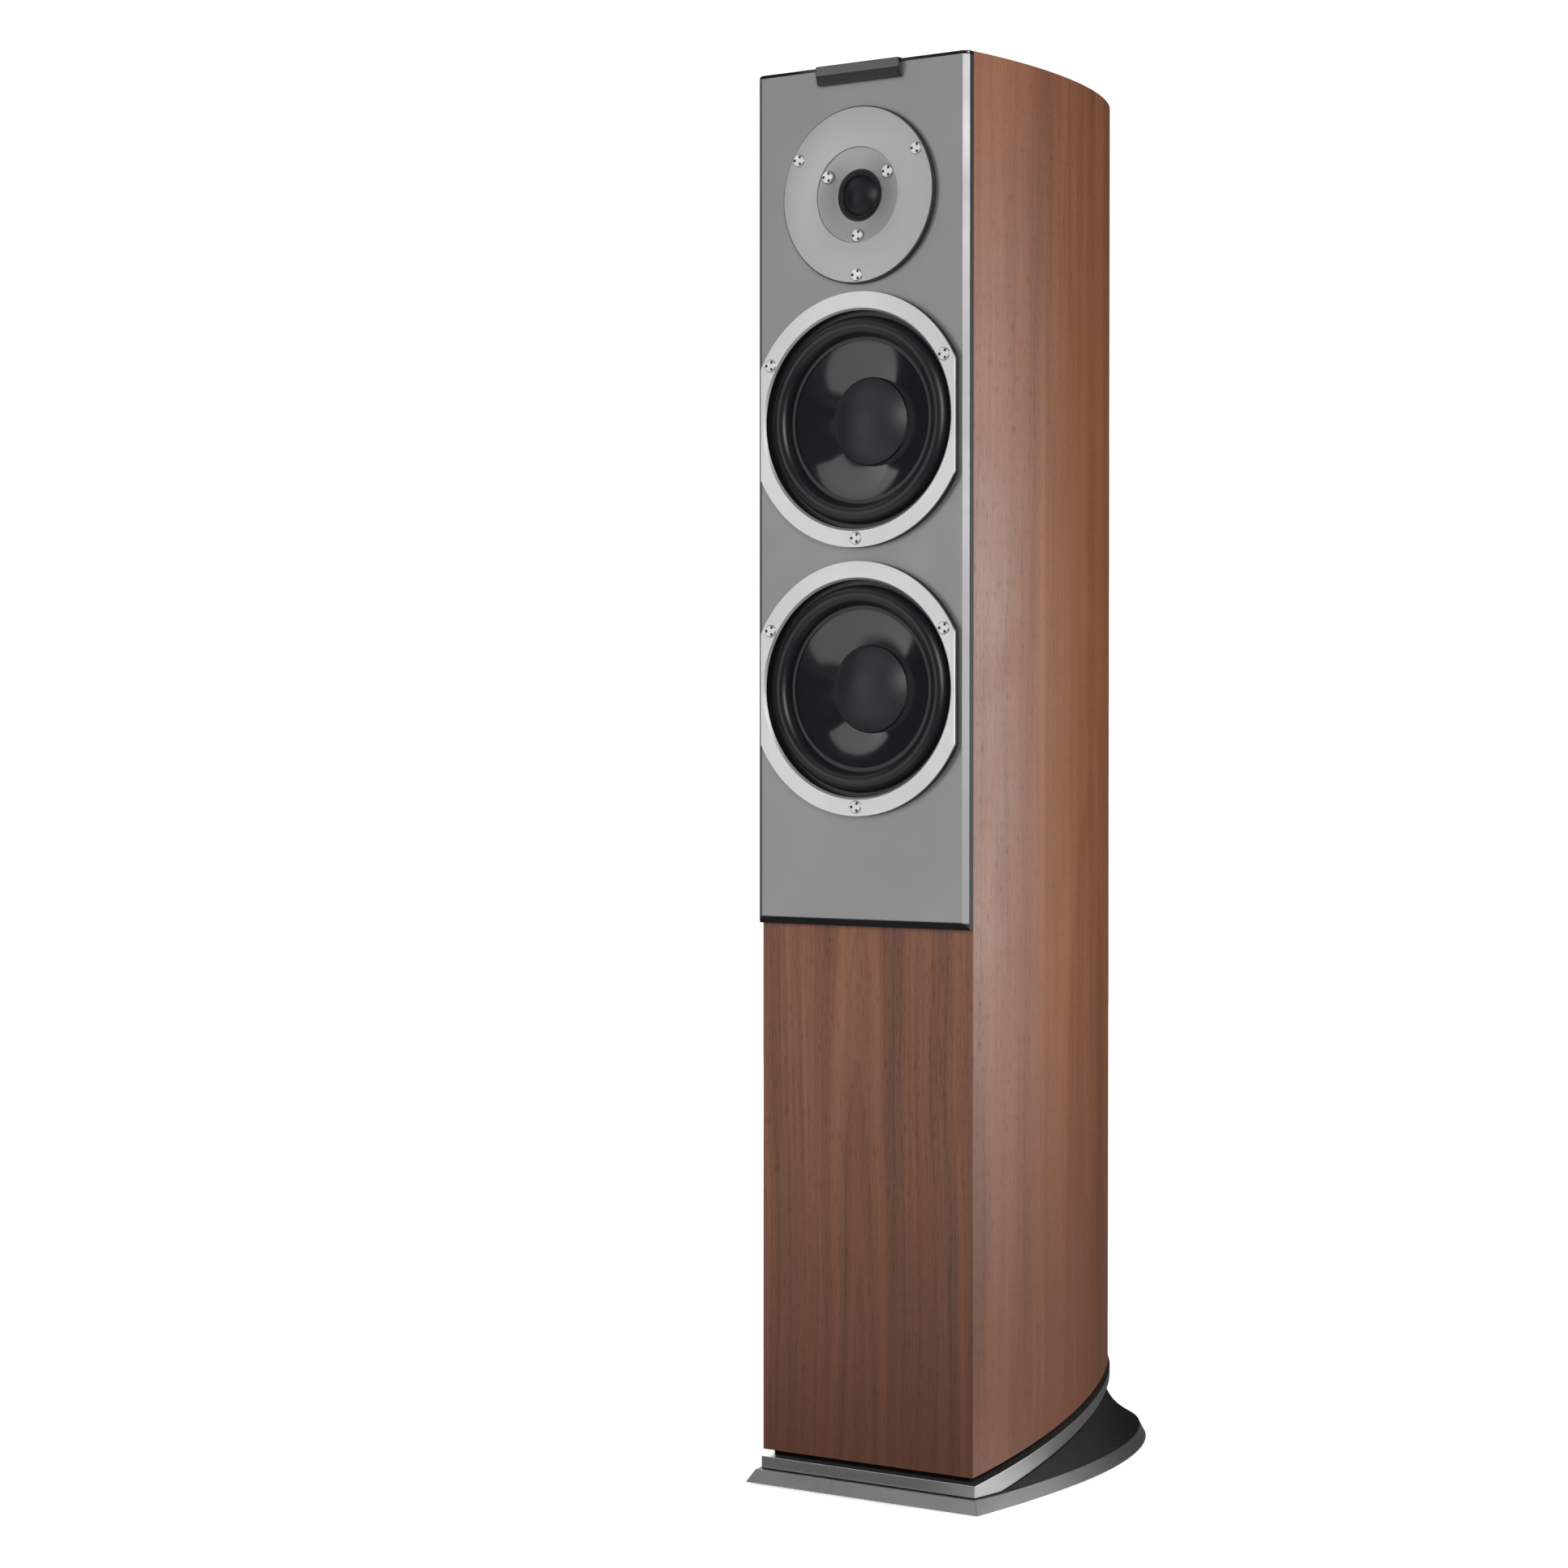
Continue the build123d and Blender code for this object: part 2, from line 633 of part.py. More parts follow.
def cone():
    """Curved cone from the surround down to the former."""
    middle = ((CONE_R + NECK_R) / 2, -(LIP_T + NECK_Z) / 2 + CONE_SAG)
    edge = ThreePointArc((CONE_R, -LIP_T), middle, (NECK_R, -NECK_Z))
    return turned_band(edge, CONE_WALL)


def dust_cap():
    """Wide convex cap glued to the face of the cone."""
    return cap_shell(CAP_R, CAP_RISE, CAP_WALL, -CAP_Z + cap_lift())


def cap_lift():
    """Small lift that seats the cap's rim on the cone's curved face."""
    return CAP_WALL


def spider():
    """Corrugated cloth disc that centres the former."""
    start = NECK_R
    end = PAN_R + BASKET_WALL
    count = 24
    waves = 4
    radii = [start + (end - start) * step / count for step in range(count + 1)]
    turn = 2 * pi * waves / count
    levels = [-SPIDER_Z + SPIDER_LIFT + SPIDER_WAVE * cos(turn * step) for step in range(count + 1)]
    return turned_band(Spline(*zip(radii, levels)), FORMER_WALL)


def voice_coil():
    """Former with its winding in the magnet gap."""
    former = tube(NECK_R, NECK_R - FORMER_WALL, -FORMER_END, -NECK_Z - CONE_WALL)
    return former + tube(NECK_R + WINDING_T, NECK_R, -FORMER_END, WINDING_L - FORMER_END)


def woofer_top_plate():
    """Steel plate that carries the magnet gap."""
    return tube(PAN_R, GAP_R, -PAN_Z - TOP_PLATE_T, -PAN_Z)


def woofer_magnet():
    """Ferrite ring."""
    top = -PAN_Z - TOP_PLATE_T
    return tube(MAGNET_R, MAGNET_BORE, top - MAGNET_T, top)


def woofer_yoke():
    """Back plate and vented pole in one piece."""
    top = -PAN_Z - TOP_PLATE_T - MAGNET_T
    plate = tube(PAN_R, VENT_R, top - YOKE_T, top)
    return plate + tube(POLE_R, VENT_R, top, -PAN_Z)


def woofer_screws():
    """Six identical ring screws, three for each woofer."""
    head = screw(SCREW_HEAD_R, SCREW_HEAD_T, SCREW_R, SCREW_L, RING_T)
    spots = around(head, WOOFER_SCREW_PCR, SCREW_ANGLES)
    return [place(item, z) for z in (LOW_WOOFER_Z, HIGH_WOOFER_Z) for item in spots]


# --------------------------------------------------------------------------------------- tweeter
def tweeter_flange():
    """Black mounting flange with the hub that holds the magnet system."""
    body = turned((HUB_BORE, -HUB_T), (HUB_R, -HUB_T), (HUB_R, 0), (BODY_R, 0), (BODY_R, BODY_T),
                  (DISH_R + SCREW_FIT, BODY_T), (DISH_R + SCREW_FIT, 0), (HUB_BORE, 0))
    body -= around(hole(SCREW_R + SCREW_FIT, -1, BODY_T + 1), OUTER_SCREW_PCR, SCREW_ANGLES)
    return body - around(hole(SCREW_R + SCREW_FIT, -HUB_T - 1, 1), INNER_SCREW_PCR, SCREW_ANGLES)


def tweeter_faceplate():
    """Thin aluminium ring on the flange."""
    plate = tube(FACE_R, DISH_R, BODY_T, BODY_T + FACE_T)
    return plate - around(hole(SCREW_R + SCREW_FIT, 0, BIG / 10), OUTER_SCREW_PCR, SCREW_ANGLES)


def tweeter_dish():
    """Shallow aluminium dish round the dome."""
    rim = DISH_R - CORNER_GAP
    dish = turned((THROAT_R, 0), (rim, 0), (rim, DISH_EDGE), (THROAT_R, DISH_THROAT))
    return dish - around(hole(SCREW_R + SCREW_FIT, -1, BIG / 10), INNER_SCREW_PCR, SCREW_ANGLES)


def tweeter_dome():
    """Soft dome diaphragm."""
    return cap_shell(DOME_R, DOME_RISE, DOME_WALL, DOME_SEAT)


def tweeter_surround():
    """Small half roll round the dome."""
    middle = (DOME_R + HUB_BORE) / 2 + DOME_WALL / 2
    return half_roll(middle, TWEETER_ROLL, DOME_WALL, DOME_R + CORNER_GAP, THROAT_R - CORNER_GAP, 0)


def tweeter_voice_coil():
    """Former glued to the dome's rim with its fine winding."""
    former = tube(DOME_R - CORNER_GAP, DOME_R - DOME_WALL, -TWEETER_FORMER_L, DOME_SEAT)
    return former + tube(DOME_R + DOME_WALL, DOME_R - CORNER_GAP, -TWEETER_FORMER_L, -HUB_T)


def tweeter_top_plate():
    """Steel plate behind the hub."""
    plate = tube(TWEETER_PLATE_R, TWEETER_GAP_R, -HUB_T - TWEETER_PLATE_T, -HUB_T)
    return plate - around(hole(SCREW_R + SCREW_FIT, -BIG / 10, 0), INNER_SCREW_PCR, SCREW_ANGLES)


def tweeter_magnet():
    """Ferrite ring of the tweeter, relieved behind the inner screws."""
    top = -HUB_T - TWEETER_PLATE_T
    return tube(TWEETER_MAGNET_R, TWEETER_MAGNET_BORE, top - TWEETER_MAGNET_T, top)


def tweeter_yoke():
    """Back plate and pole."""
    top = -HUB_T - TWEETER_PLATE_T - TWEETER_MAGNET_T
    plate = hole(TWEETER_PLATE_R, top - TWEETER_YOKE_T, top)
    return plate + hole(TWEETER_POLE_R, top, -HUB_T)


def tweeter_screws():
    """Three long outer screws into the board and three short inner ones into the top plate."""
    outer = screw(SCREW_HEAD_R, SCREW_HEAD_T, SCREW_R, SCREW_L, BODY_T + FACE_T)
    slope = (DISH_EDGE - DISH_THROAT) / (DISH_R - THROAT_R)
    level = DISH_THROAT + slope * (INNER_SCREW_PCR + SCREW_HEAD_R - THROAT_R)
    inner = screw(SCREW_HEAD_R, SCREW_HEAD_T, SCREW_R, INNER_SCREW_L, level)
    items = around(outer, OUTER_SCREW_PCR, SCREW_ANGLES) + around(inner, INNER_SCREW_PCR, SCREW_ANGLES)
    return [place(item, TWEETER_Z) for item in items]


# ---------------------------------------------------------------------------------- rear fittings
def rear(shape, x, z):
    """Put a part that was drawn about local Z on the back panel, local +Z pointing backwards."""
    plane = Plane(origin=(x, BACK_Y, z), x_dir=(-1, 0, 0), z_dir=(0, 1, 0))
    return plane.location * shape


def port_tube():
    """Reflex tube with a flared mouth let onto the back panel."""
    outer = PORT_R + PORT_WALL
    body = turned((PORT_R, -PORT_L), (outer, -PORT_L), (outer, 0), (PORT_FLARE_R, 0),
                  (PORT_FLARE_R, PORT_FLARE_T / 2), (PORT_FLARE_R - PORT_FLARE_T / 2, PORT_FLARE_T),
                  (PORT_R + PORT_WALL / 2, PORT_FLARE_T), (PORT_R, -PORT_LEAD))
    return rear(body, 0, PORT_Z)


def post_xs():
    """The two binding posts, red and black."""
    return (-POST_PITCH / 2, POST_PITCH / 2)


def plate_screw_spots():
    """Corner screws of the terminal plate."""
    dx = TERMINAL_W / 2 - PLATE_SCREW_INSET
    dz = TERMINAL_H / 2 - PLATE_SCREW_INSET
    return [(sx * dx, sz * dz) for sx in (-1, 1) for sz in (-1, 1)]


def terminal_plate():
    """Plate that carries the binding posts."""
    plate = extrude(RectangleRounded(TERMINAL_W, TERMINAL_H, TERMINAL_CORNER), amount=TERMINAL_T)
    plate -= [Pos(x, 0, 0) * hole(POST_R + CORNER_GAP, -1, TERMINAL_T + 1) for x in post_xs()]
    screw_hole = hole(PLATE_SCREW_R + SCREW_FIT, -1, TERMINAL_T + 1)
    plate -= [Pos(x, z, 0) * screw_hole for x, z in plate_screw_spots()]
    return rear(plate, 0, TERMINAL_Z)


def terminal_screws():
    """Four small round-headed screws."""
    high = TERMINAL_T
    body = turned((0, -PLATE_SCREW_L), (PLATE_SCREW_R, -PLATE_SCREW_L), (PLATE_SCREW_R, high),
                  (PLATE_SCREW_HEAD, high), (PLATE_SCREW_HEAD - PLATE_SCREW_R / 2, high + PLATE_SCREW_R),
                  (0, high + PLATE_SCREW_R))
    slot = Pos(0, 0, high + PLATE_SCREW_R) * Box(PLATE_SCREW_HEAD, PLATE_SCREW_R / 2, PLATE_SCREW_R)
    body -= slot + Rot(0, 0, 90) * slot
    return [rear(Pos(x, z, 0) * body, 0, TERMINAL_Z) for x, z in plate_screw_spots()]


def binding_posts():
    """Two plated posts, bored for a 4 mm plug, with their fixing nuts inside."""
    top = TERMINAL_T + POST_OUT
    body = turned((0, -WALL - POST_TAIL), (POST_R, -WALL - POST_TAIL), (POST_R, top), (POST_BORE, top),
                  (POST_BORE, top - POST_BORE_L), (0, top - POST_BORE_L))
    body += tube(POST_NUT_R, POST_R, -WALL - POST_NUT_T, -WALL)
    return [rear(body, x, TERMINAL_Z) for x in post_xs()]


def knob():
    """Ribbed clamp nut that runs on the post's thread."""
    low = TERMINAL_T + WASHER_T
    body = tube(KNOB_R, POST_R + POST_FIT, low, low + KNOB_L)
    flute = hole(KNOB_RIB_R, low + KNOB_RIB_R, low + BIG / 10)
    return body - around(flute, KNOB_R + KNOB_RIB_R / 3, [360 * n / KNOB_RIBS for n in range(KNOB_RIBS)])


def washer():
    """Clamp washer that travels with its knob."""
    return tube(WASHER_R, POST_R + POST_FIT, TERMINAL_T, TERMINAL_T + WASHER_T)


# ---------------------------------------------------------------------- crossover and wiring
def inside_front(shape, x, z, lift):
    """Put a part on the inner face of the front board, local +Z pointing backwards."""
    plane = Plane(origin=(x, FRONT_Y + FRONT_T + lift, z), x_dir=(-1, 0, 0), z_dir=(0, 1, 0))
    return plane.location * shape


def crossover_board():
    """Printed board on four standoffs."""
    board = Pos(0, 0, BOARD_GAP + BOARD_T / 2) * Box(BOARD_W, BOARD_H, BOARD_T)
    dx = BOARD_W / 2 - 2 * STANDOFF_R
    dy = BOARD_H / 2 - 2 * STANDOFF_R
    legs = [Pos(sx * dx, sy * dy, 0) * hole(STANDOFF_R, 0, BOARD_GAP) for sx in (-1, 1) for sy in (-1, 1)]
    return inside_front(board + legs, 0, BOARD_Z, 0)


def inductors():
    """Three wound coils lying on the board."""
    coil = tube(INDUCTOR_R, INDUCTOR_BORE, 0, INDUCTOR_T)
    spots = ((-BOARD_W / 4, BOARD_H / 3.4), (BOARD_W / 4, BOARD_H / 3.4), (-BOARD_W / 4, -BOARD_H / 3.4))
    return [inside_front(coil, x, BOARD_Z + z, BOARD_GAP + BOARD_T) for x, z in spots]


def capacitors():
    """Four film capacitors lying side by side."""
    can = Pos(0, 0, CAP_BODY_R) * Rot(0, 90, 0) * Cylinder(CAP_BODY_R, CAP_BODY_L)
    spots = ((BOARD_W / 4, 0), (-BOARD_W / 4, 0), (BOARD_W / 4, -BOARD_H / 6), (BOARD_W / 4, -BOARD_H / 3))
    return [inside_front(can, x, BOARD_Z + z, BOARD_GAP + BOARD_T) for x, z in spots]


def wire(*points):
    """Round cable along straight runs with rounded corners."""
    path = FilletPolyline(*points, radius=WIRE_BEND)
    start = Plane(origin=path @ 0, z_dir=path % 0)
    return sweep(start * Circle(WIRE_R), path)


def internal_wiring():
    """Four cables: posts to board, and board to each drive unit."""
    board_y = FRONT_Y + FRONT_T + BOARD_GAP + BOARD_T + WIRE_R + 1
    tag_y = PLATE_Y + PAN_Z
    post_y = BACK_Y - WALL - POST_TAIL - WIRE_R - 1
    run_y = tag_y + MAGNET_T * 3
    foot_z = BOARD_Z + BOARD_H / 2 + WIRE_R * 3
    items = [wire((0, post_y, TERMINAL_Z), (0, run_y, TERMINAL_Z), (0, run_y, foot_z), (0, board_y, foot_z))]
    ends = ((LOW_WOOFER_Z, MAGNET_R), (HIGH_WOOFER_Z, MAGNET_R), (TWEETER_Z, TWEETER_MAGNET_R))
    for step, (z, reach) in enumerate(ends):
        x = WIRE_R * 4 * (step + 1)
        low = foot_z + WIRE_R * 4 * (step + 1)
        drop = z - reach - WIRE_R * 2
        items.append(wire((x, board_y, low), (x, run_y, low), (x, run_y, drop), (x, tag_y, drop)))
    return items


os.makedirs("parts", exist_ok=True)

left_panel, right_panel = side_panels()
save(left_panel, "left_side_panel")
save(right_panel, "right_side_panel")
save(front_board(), "front_board")
save(top_panel(), "top_panel")
save(bottom_panel(), "bottom_panel")
save(back_panel(), "back_panel")
save(Compound(shelf_braces()), "shelf_braces")
save(Compound(damping_wadding()), "damping_wadding")
save(baffle_plate(), "baffle_plate")
save(top_trim(), "top_trim")
save(plinth_spacer(), "plinth_spacer")
save(plinth_upper_plate(), "plinth_upper_plate")
save(plinth_core(), "plinth_core")
save(plinth_base_plate(), "plinth_base_plate")
save(Compound(plinth_bolts()), "plinth_bolts")
save(Compound(feet()), "feet")
for label, level in (("lower", LOW_WOOFER_Z), ("upper", HIGH_WOOFER_Z)):
    save(place(trim_ring(), level), f"{label}_woofer_trim_ring")
    save(place(basket(), level), f"{label}_woofer_basket")
    save(place(woofer_surround(), level), f"{label}_woofer_surround")
    save(place(cone(), level), f"{label}_woofer_cone")
    save(place(dust_cap(), level), f"{label}_woofer_dust_cap")
    save(place(spider(), level), f"{label}_woofer_spider")
    save(place(voice_coil(), level), f"{label}_woofer_voice_coil")
    save(place(woofer_top_plate(), level), f"{label}_woofer_top_plate")
    save(place(woofer_magnet(), level), f"{label}_woofer_magnet")
    save(place(woofer_yoke(), level), f"{label}_woofer_yoke")
save(Compound([place(woofer_gasket(), z) for z in (LOW_WOOFER_Z, HIGH_WOOFER_Z)]), "woofer_gaskets")
save(Compound(woofer_screws()), "woofer_screws")
save(place(tweeter_flange(), TWEETER_Z), "tweeter_flange")
save(place(tweeter_faceplate(), TWEETER_Z), "tweeter_faceplate")
save(place(tweeter_dish(), TWEETER_Z), "tweeter_dish")
save(place(tweeter_dome(), TWEETER_Z), "tweeter_dome")
save(place(tweeter_surround(), TWEETER_Z), "tweeter_surround")
save(place(tweeter_voice_coil(), TWEETER_Z), "tweeter_voice_coil")
save(place(tweeter_top_plate(), TWEETER_Z), "tweeter_top_plate")
save(place(tweeter_magnet(), TWEETER_Z), "tweeter_magnet")
save(place(tweeter_yoke(), TWEETER_Z), "tweeter_yoke")
save(Compound(tweeter_screws()), "tweeter_screws")
save(port_tube(), "port_tube")
save(terminal_plate(), "terminal_plate")
save(Compound(terminal_screws()), "terminal_screws")
save(Compound(binding_posts()), "binding_posts")
for label, x in zip(("black", "red"), post_xs()):
    save(rear(knob(), x, TERMINAL_Z), f"{label}_terminal_knob")
    save(rear(washer(), x, TERMINAL_Z), f"{label}_terminal_washer")
save(crossover_board(), "crossover_board")
save(Compound(inductors()), "crossover_inductors")
save(Compound(capacitors()), "crossover_capacitors")
save(Compound(internal_wiring()), "internal_wiring")
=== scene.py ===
import json
from math import acos, pi, radians, tau
import bmesh
import bpy
import numpy as np
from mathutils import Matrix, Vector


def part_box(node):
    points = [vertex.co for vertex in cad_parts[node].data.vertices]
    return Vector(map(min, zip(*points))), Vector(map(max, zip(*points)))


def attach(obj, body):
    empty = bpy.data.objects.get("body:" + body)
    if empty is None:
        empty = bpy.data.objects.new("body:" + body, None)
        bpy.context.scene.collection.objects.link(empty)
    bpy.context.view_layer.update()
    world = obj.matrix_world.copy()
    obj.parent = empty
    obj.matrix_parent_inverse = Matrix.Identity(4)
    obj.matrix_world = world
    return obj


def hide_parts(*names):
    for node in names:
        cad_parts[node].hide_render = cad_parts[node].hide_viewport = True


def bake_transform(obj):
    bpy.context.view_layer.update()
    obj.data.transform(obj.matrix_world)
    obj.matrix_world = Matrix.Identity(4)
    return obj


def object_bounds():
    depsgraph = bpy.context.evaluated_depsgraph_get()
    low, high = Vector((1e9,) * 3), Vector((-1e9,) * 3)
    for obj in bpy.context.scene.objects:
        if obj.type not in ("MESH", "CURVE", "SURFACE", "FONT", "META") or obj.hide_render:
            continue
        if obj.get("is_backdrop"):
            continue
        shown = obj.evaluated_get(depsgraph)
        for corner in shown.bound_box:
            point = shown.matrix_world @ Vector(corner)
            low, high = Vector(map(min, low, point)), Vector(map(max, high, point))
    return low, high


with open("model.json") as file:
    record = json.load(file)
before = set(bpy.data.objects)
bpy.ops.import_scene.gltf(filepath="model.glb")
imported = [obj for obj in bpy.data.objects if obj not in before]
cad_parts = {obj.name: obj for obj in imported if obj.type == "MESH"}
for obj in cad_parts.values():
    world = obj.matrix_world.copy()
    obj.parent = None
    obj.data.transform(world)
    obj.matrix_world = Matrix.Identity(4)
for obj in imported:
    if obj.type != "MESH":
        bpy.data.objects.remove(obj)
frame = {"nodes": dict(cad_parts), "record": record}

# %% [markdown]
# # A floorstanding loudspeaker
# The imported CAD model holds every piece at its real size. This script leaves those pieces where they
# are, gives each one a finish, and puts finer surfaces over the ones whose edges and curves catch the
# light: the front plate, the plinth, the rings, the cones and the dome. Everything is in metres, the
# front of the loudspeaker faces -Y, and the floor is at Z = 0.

MM = 0.001
cad_box = [list(corner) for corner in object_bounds()]
nodes = frame["nodes"]
print("CAD box", [[round(value, 4) for value in corner] for corner in cad_box])

# %% [markdown]
# ## Driving sizes
# The curved outlines are worked out again here from the same few sizes that the maker's drawing
# uses. Places come from the CAD boxes, so a piece can't drift away from the frame.

# %% Sizes read from the frame
FRONT_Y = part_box("front_board")[0].y
PLATE_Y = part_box("baffle_plate")[0].y
BACK_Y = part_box("back_panel")[1].y


def centre_z(node):
    """Middle height of a CAD node."""
    low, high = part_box(node)
    return (low.z + high.z) / 2


LOW_Z = centre_z("lower_woofer_cone")
HIGH_Z = centre_z("upper_woofer_cone")
TWEETER_Z = centre_z("tweeter_dome")
print("driver heights", round(LOW_Z, 4), round(HIGH_Z, 4), round(TWEETER_Z, 4))

# %% Sizes repeated from the drawing
HALF_FRONT = 89.1 * MM
SKIRT_Z = 26.0 * MM

# %% [markdown]
# ## Building surfaces from arrays
# Each new piece is a grid of points worked out with numpy. The grid goes into a mesh in one call,
# doubled points at poles are merged, and the faces are turned outwards.

# %% Grid to mesh
SMOOTH_LIMIT = radians(32)
MERGE = 1e-7


def surface(name, grid, wrap_rows=True, wrap_columns=True, caps=False):
    """Mesh from a grid of points: quads between neighbouring rows and columns.

    A wrapped direction joins its last line to its first; caps closes the first and last row."""
    rows, columns = grid.shape[:2]
    index = np.arange(rows * columns).reshape(rows, columns)
    a = index if wrap_rows else index[:-1]
    b = np.roll(index, -1, 0) if wrap_rows else index[1:]
    if not wrap_columns:
        quads = np.stack([a[:, :-1], a[:, 1:], b[:, 1:], b[:, :-1]], -1)
    else:
        quads = np.stack([a, np.roll(a, -1, 1), np.roll(b, -1, 1), b], -1)
    faces = quads.reshape(-1, 4).tolist()
    if caps:
        faces += [index[0].tolist(), index[-1][::-1].tolist()]
    mesh = bpy.data.meshes.new(name)
    mesh.from_pydata(grid.reshape(-1, 3).tolist(), [], faces)
    work = bmesh.new()
    work.from_mesh(mesh)
    bmesh.ops.remove_doubles(work, verts=work.verts, dist=MERGE)
    bmesh.ops.recalc_face_normals(work, faces=work.faces)
    work.to_mesh(mesh)
    work.free()
    mesh.polygons.foreach_set("use_smooth", np.ones(len(mesh.polygons), bool))
    mesh.set_sharp_from_angle(angle=SMOOTH_LIMIT)
    piece = bpy.data.objects.new(name, mesh)
    bpy.context.scene.collection.objects.link(piece)
    return piece


def finish_piece(piece, finish, body, *replaced):
    """Give a piece its material, the body it moves with and the CAD nodes it stands for."""
    piece.data.materials.clear()
    piece.data.materials.append(finish)
    if body:
        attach(piece, body)
    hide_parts(*replaced)
    print(piece.name, len(piece.data.polygons), "faces")
    return piece


SLOT_OF = {part["node"]: part["material_slot"] for part in frame["record"]["subparts"]}

# %% [markdown]
# ### Rounded profiles
# Real edges are never razor sharp. A profile is drawn as corners, and every corner is swapped for a
# small arc, so each turned piece catches a thin line of light along its edges.


# %% Corner rounding
def rounded(corners, radius, steps=5, closed=True):
    """Polyline with each corner replaced by an arc tangent to both of its sides.

    The arc starts one tangent length before the corner and ends the same length after it."""
    corners = np.asarray(corners, float)
    radii = np.broadcast_to(radius, len(corners))
    points = []
    for k, (corner, size) in enumerate(zip(corners, radii)):
        if (not closed and k in (0, len(corners) - 1)) or size <= 0:
            points.append(corner[None])
            continue
        into = corners[k - 1] - corner
        out = corners[(k + 1) % len(corners)] - corner
        reach = min(np.linalg.norm(into), np.linalg.norm(out)) * 0.48
        into, out = into / np.linalg.norm(into), out / np.linalg.norm(out)
        half = np.arccos(np.clip(into @ out, -1, 1)) / 2
        tangent = min(size / np.tan(half), reach)
        blend = np.linspace(0, 1, steps)[:, None]
        start, end = corner + into * tangent, corner + out * tangent
        points.append((1 - blend) ** 2 * start + 2 * blend * (1 - blend) * corner + blend ** 2 * end)
    return np.concatenate(points)


def turned(name, profile, height, turns=160, closed=True):
    """Surface of revolution about a driver axis: radius and level of each profile point, swept round."""
    angle = np.arange(turns) / turns * tau
    radius, level = profile[:, 0], profile[:, 1]
    x = np.cos(angle)[:, None] * radius
    z = height + np.sin(angle)[:, None] * radius
    y = PLATE_Y - np.broadcast_to(level, x.shape)
    return surface(name, np.stack([x, y, z], -1), wrap_columns=closed)


# %% [markdown]
# ## Finishes
# Materials are node trees on the object's own coordinates, so the pattern is carved through each
# piece at its true scale. What several finishes share, such as fine speckle, drawn lines, haze from
# handling or veneer figure, is a node group placed in each of them with its own values.


# %% Small helpers for node trees
def add(tree, kind, **settings):
    """New node with its settings."""
    made = tree.nodes.new(kind)
    for key, value in settings.items():
        setattr(made, key, value)
    return made


def plug(tree, value, socket):
    """Link an output to a socket, or set the socket when the value is a plain number or colour."""
    if isinstance(value, bpy.types.NodeSocket):
        tree.links.new(value, socket)
    else:
        socket.default_value = value


def calc(tree, operation, a, b=0.0, c=0.0, clamp=False):
    """Math node output for a, b and c."""
    made = add(tree, "ShaderNodeMath", operation=operation, use_clamp=clamp)
    for value, socket in zip((a, b, c), made.inputs):
        plug(tree, value, socket)
    return made.outputs[0]


def spread(tree, value, low, high, to_low=0.0, to_high=1.0):
    """Map a value from one range to another, held at the ends."""
    made = add(tree, "ShaderNodeMapRange")
    for item, socket in zip((value, low, high, to_low, to_high), made.inputs):
        plug(tree, item, socket)
    return made.outputs[0]


def blend_colour(tree, share, a, b):
    """Colour between a and b."""
    made = add(tree, "ShaderNodeMix", data_type="RGBA")
    plug(tree, share, made.inputs["Factor"])
    plug(tree, a, made.inputs["A"])
    plug(tree, b, made.inputs["B"])
    return made.outputs["Result"]


def noise(tree, vector, scale, detail=3.0, rough=0.5, warp=0.0):
    """Noise texture value."""
    made = add(tree, "ShaderNodeTexNoise")
    plug(tree, vector, made.inputs["Vector"])
    made.inputs["Scale"].default_value = scale
    made.inputs["Detail"].default_value = detail
    made.inputs["Roughness"].default_value = rough
    made.inputs["Distortion"].default_value = warp
    return made.outputs["Fac"]


def split(tree, vector):
    """X, Y and Z of a vector."""
    made = add(tree, "ShaderNodeSeparateXYZ")
    plug(tree, vector, made.inputs[0])
    return made.outputs


def dimmed(tree, colour, factor):
    """Colour multiplied by one factor."""
    made = add(tree, "ShaderNodeVectorMath", operation="SCALE")
    plug(tree, colour, made.inputs[0])
    plug(tree, factor, made.inputs["Scale"])
    return made.outputs[0]


def join(tree, x, y, z):
    """Vector from three values."""
    made = add(tree, "ShaderNodeCombineXYZ")
    for value, socket in zip((x, y, z), made.inputs):
        plug(tree, value, socket)
    return made.outputs[0]


def group(name, inputs, outputs):
    """Empty node group with named sockets; returns the tree, its input sockets and its output node."""
    tree = bpy.data.node_groups.new(name, "ShaderNodeTree")
    for label, kind, start in inputs:
        socket = tree.interface.new_socket(label, in_out="INPUT", socket_type=kind)
        if start is not None:
            socket.default_value = start
    for label, kind in outputs:
        tree.interface.new_socket(label, in_out="OUTPUT", socket_type=kind)
    return tree, add(tree, "NodeGroupInput").outputs, add(tree, "NodeGroupOutput").inputs


def use(tree, shared, **values):
    """Place a node group in a material and set or link its inputs."""
    made = add(tree, "ShaderNodeGroup", node_tree=shared)
    for label, value in values.items():
        plug(tree, value, made.inputs[label.replace("_", " ")])
    return made.outputs


FLOAT, COLOUR, VECTOR = "NodeSocketFloat", "NodeSocketColor", "NodeSocketVector"


def blank(name, **shader_values):
    """Material with a Principled shader whose constant sockets are set directly."""
    made = bpy.data.materials.new(name)
    made.use_nodes = True
    tree = made.node_tree
    shader = tree.nodes["Principled BSDF"]
    for label, value in shader_values.items():
        shader.inputs[label.replace("_", " ")].default_value = value
    place = add(tree, "ShaderNodeTexCoord").outputs["Object"]
    return made, tree, shader, place


def relief(tree, shader, height, strength, distance):
    """Bump from a height value into the shader's normal."""
    bump = add(tree, "ShaderNodeBump")
    bump.inputs["Strength"].default_value = strength
    bump.inputs["Distance"].default_value = distance
    plug(tree, height, bump.inputs["Height"])
    plug(tree, bump.outputs["Normal"], shader.inputs["Normal"])


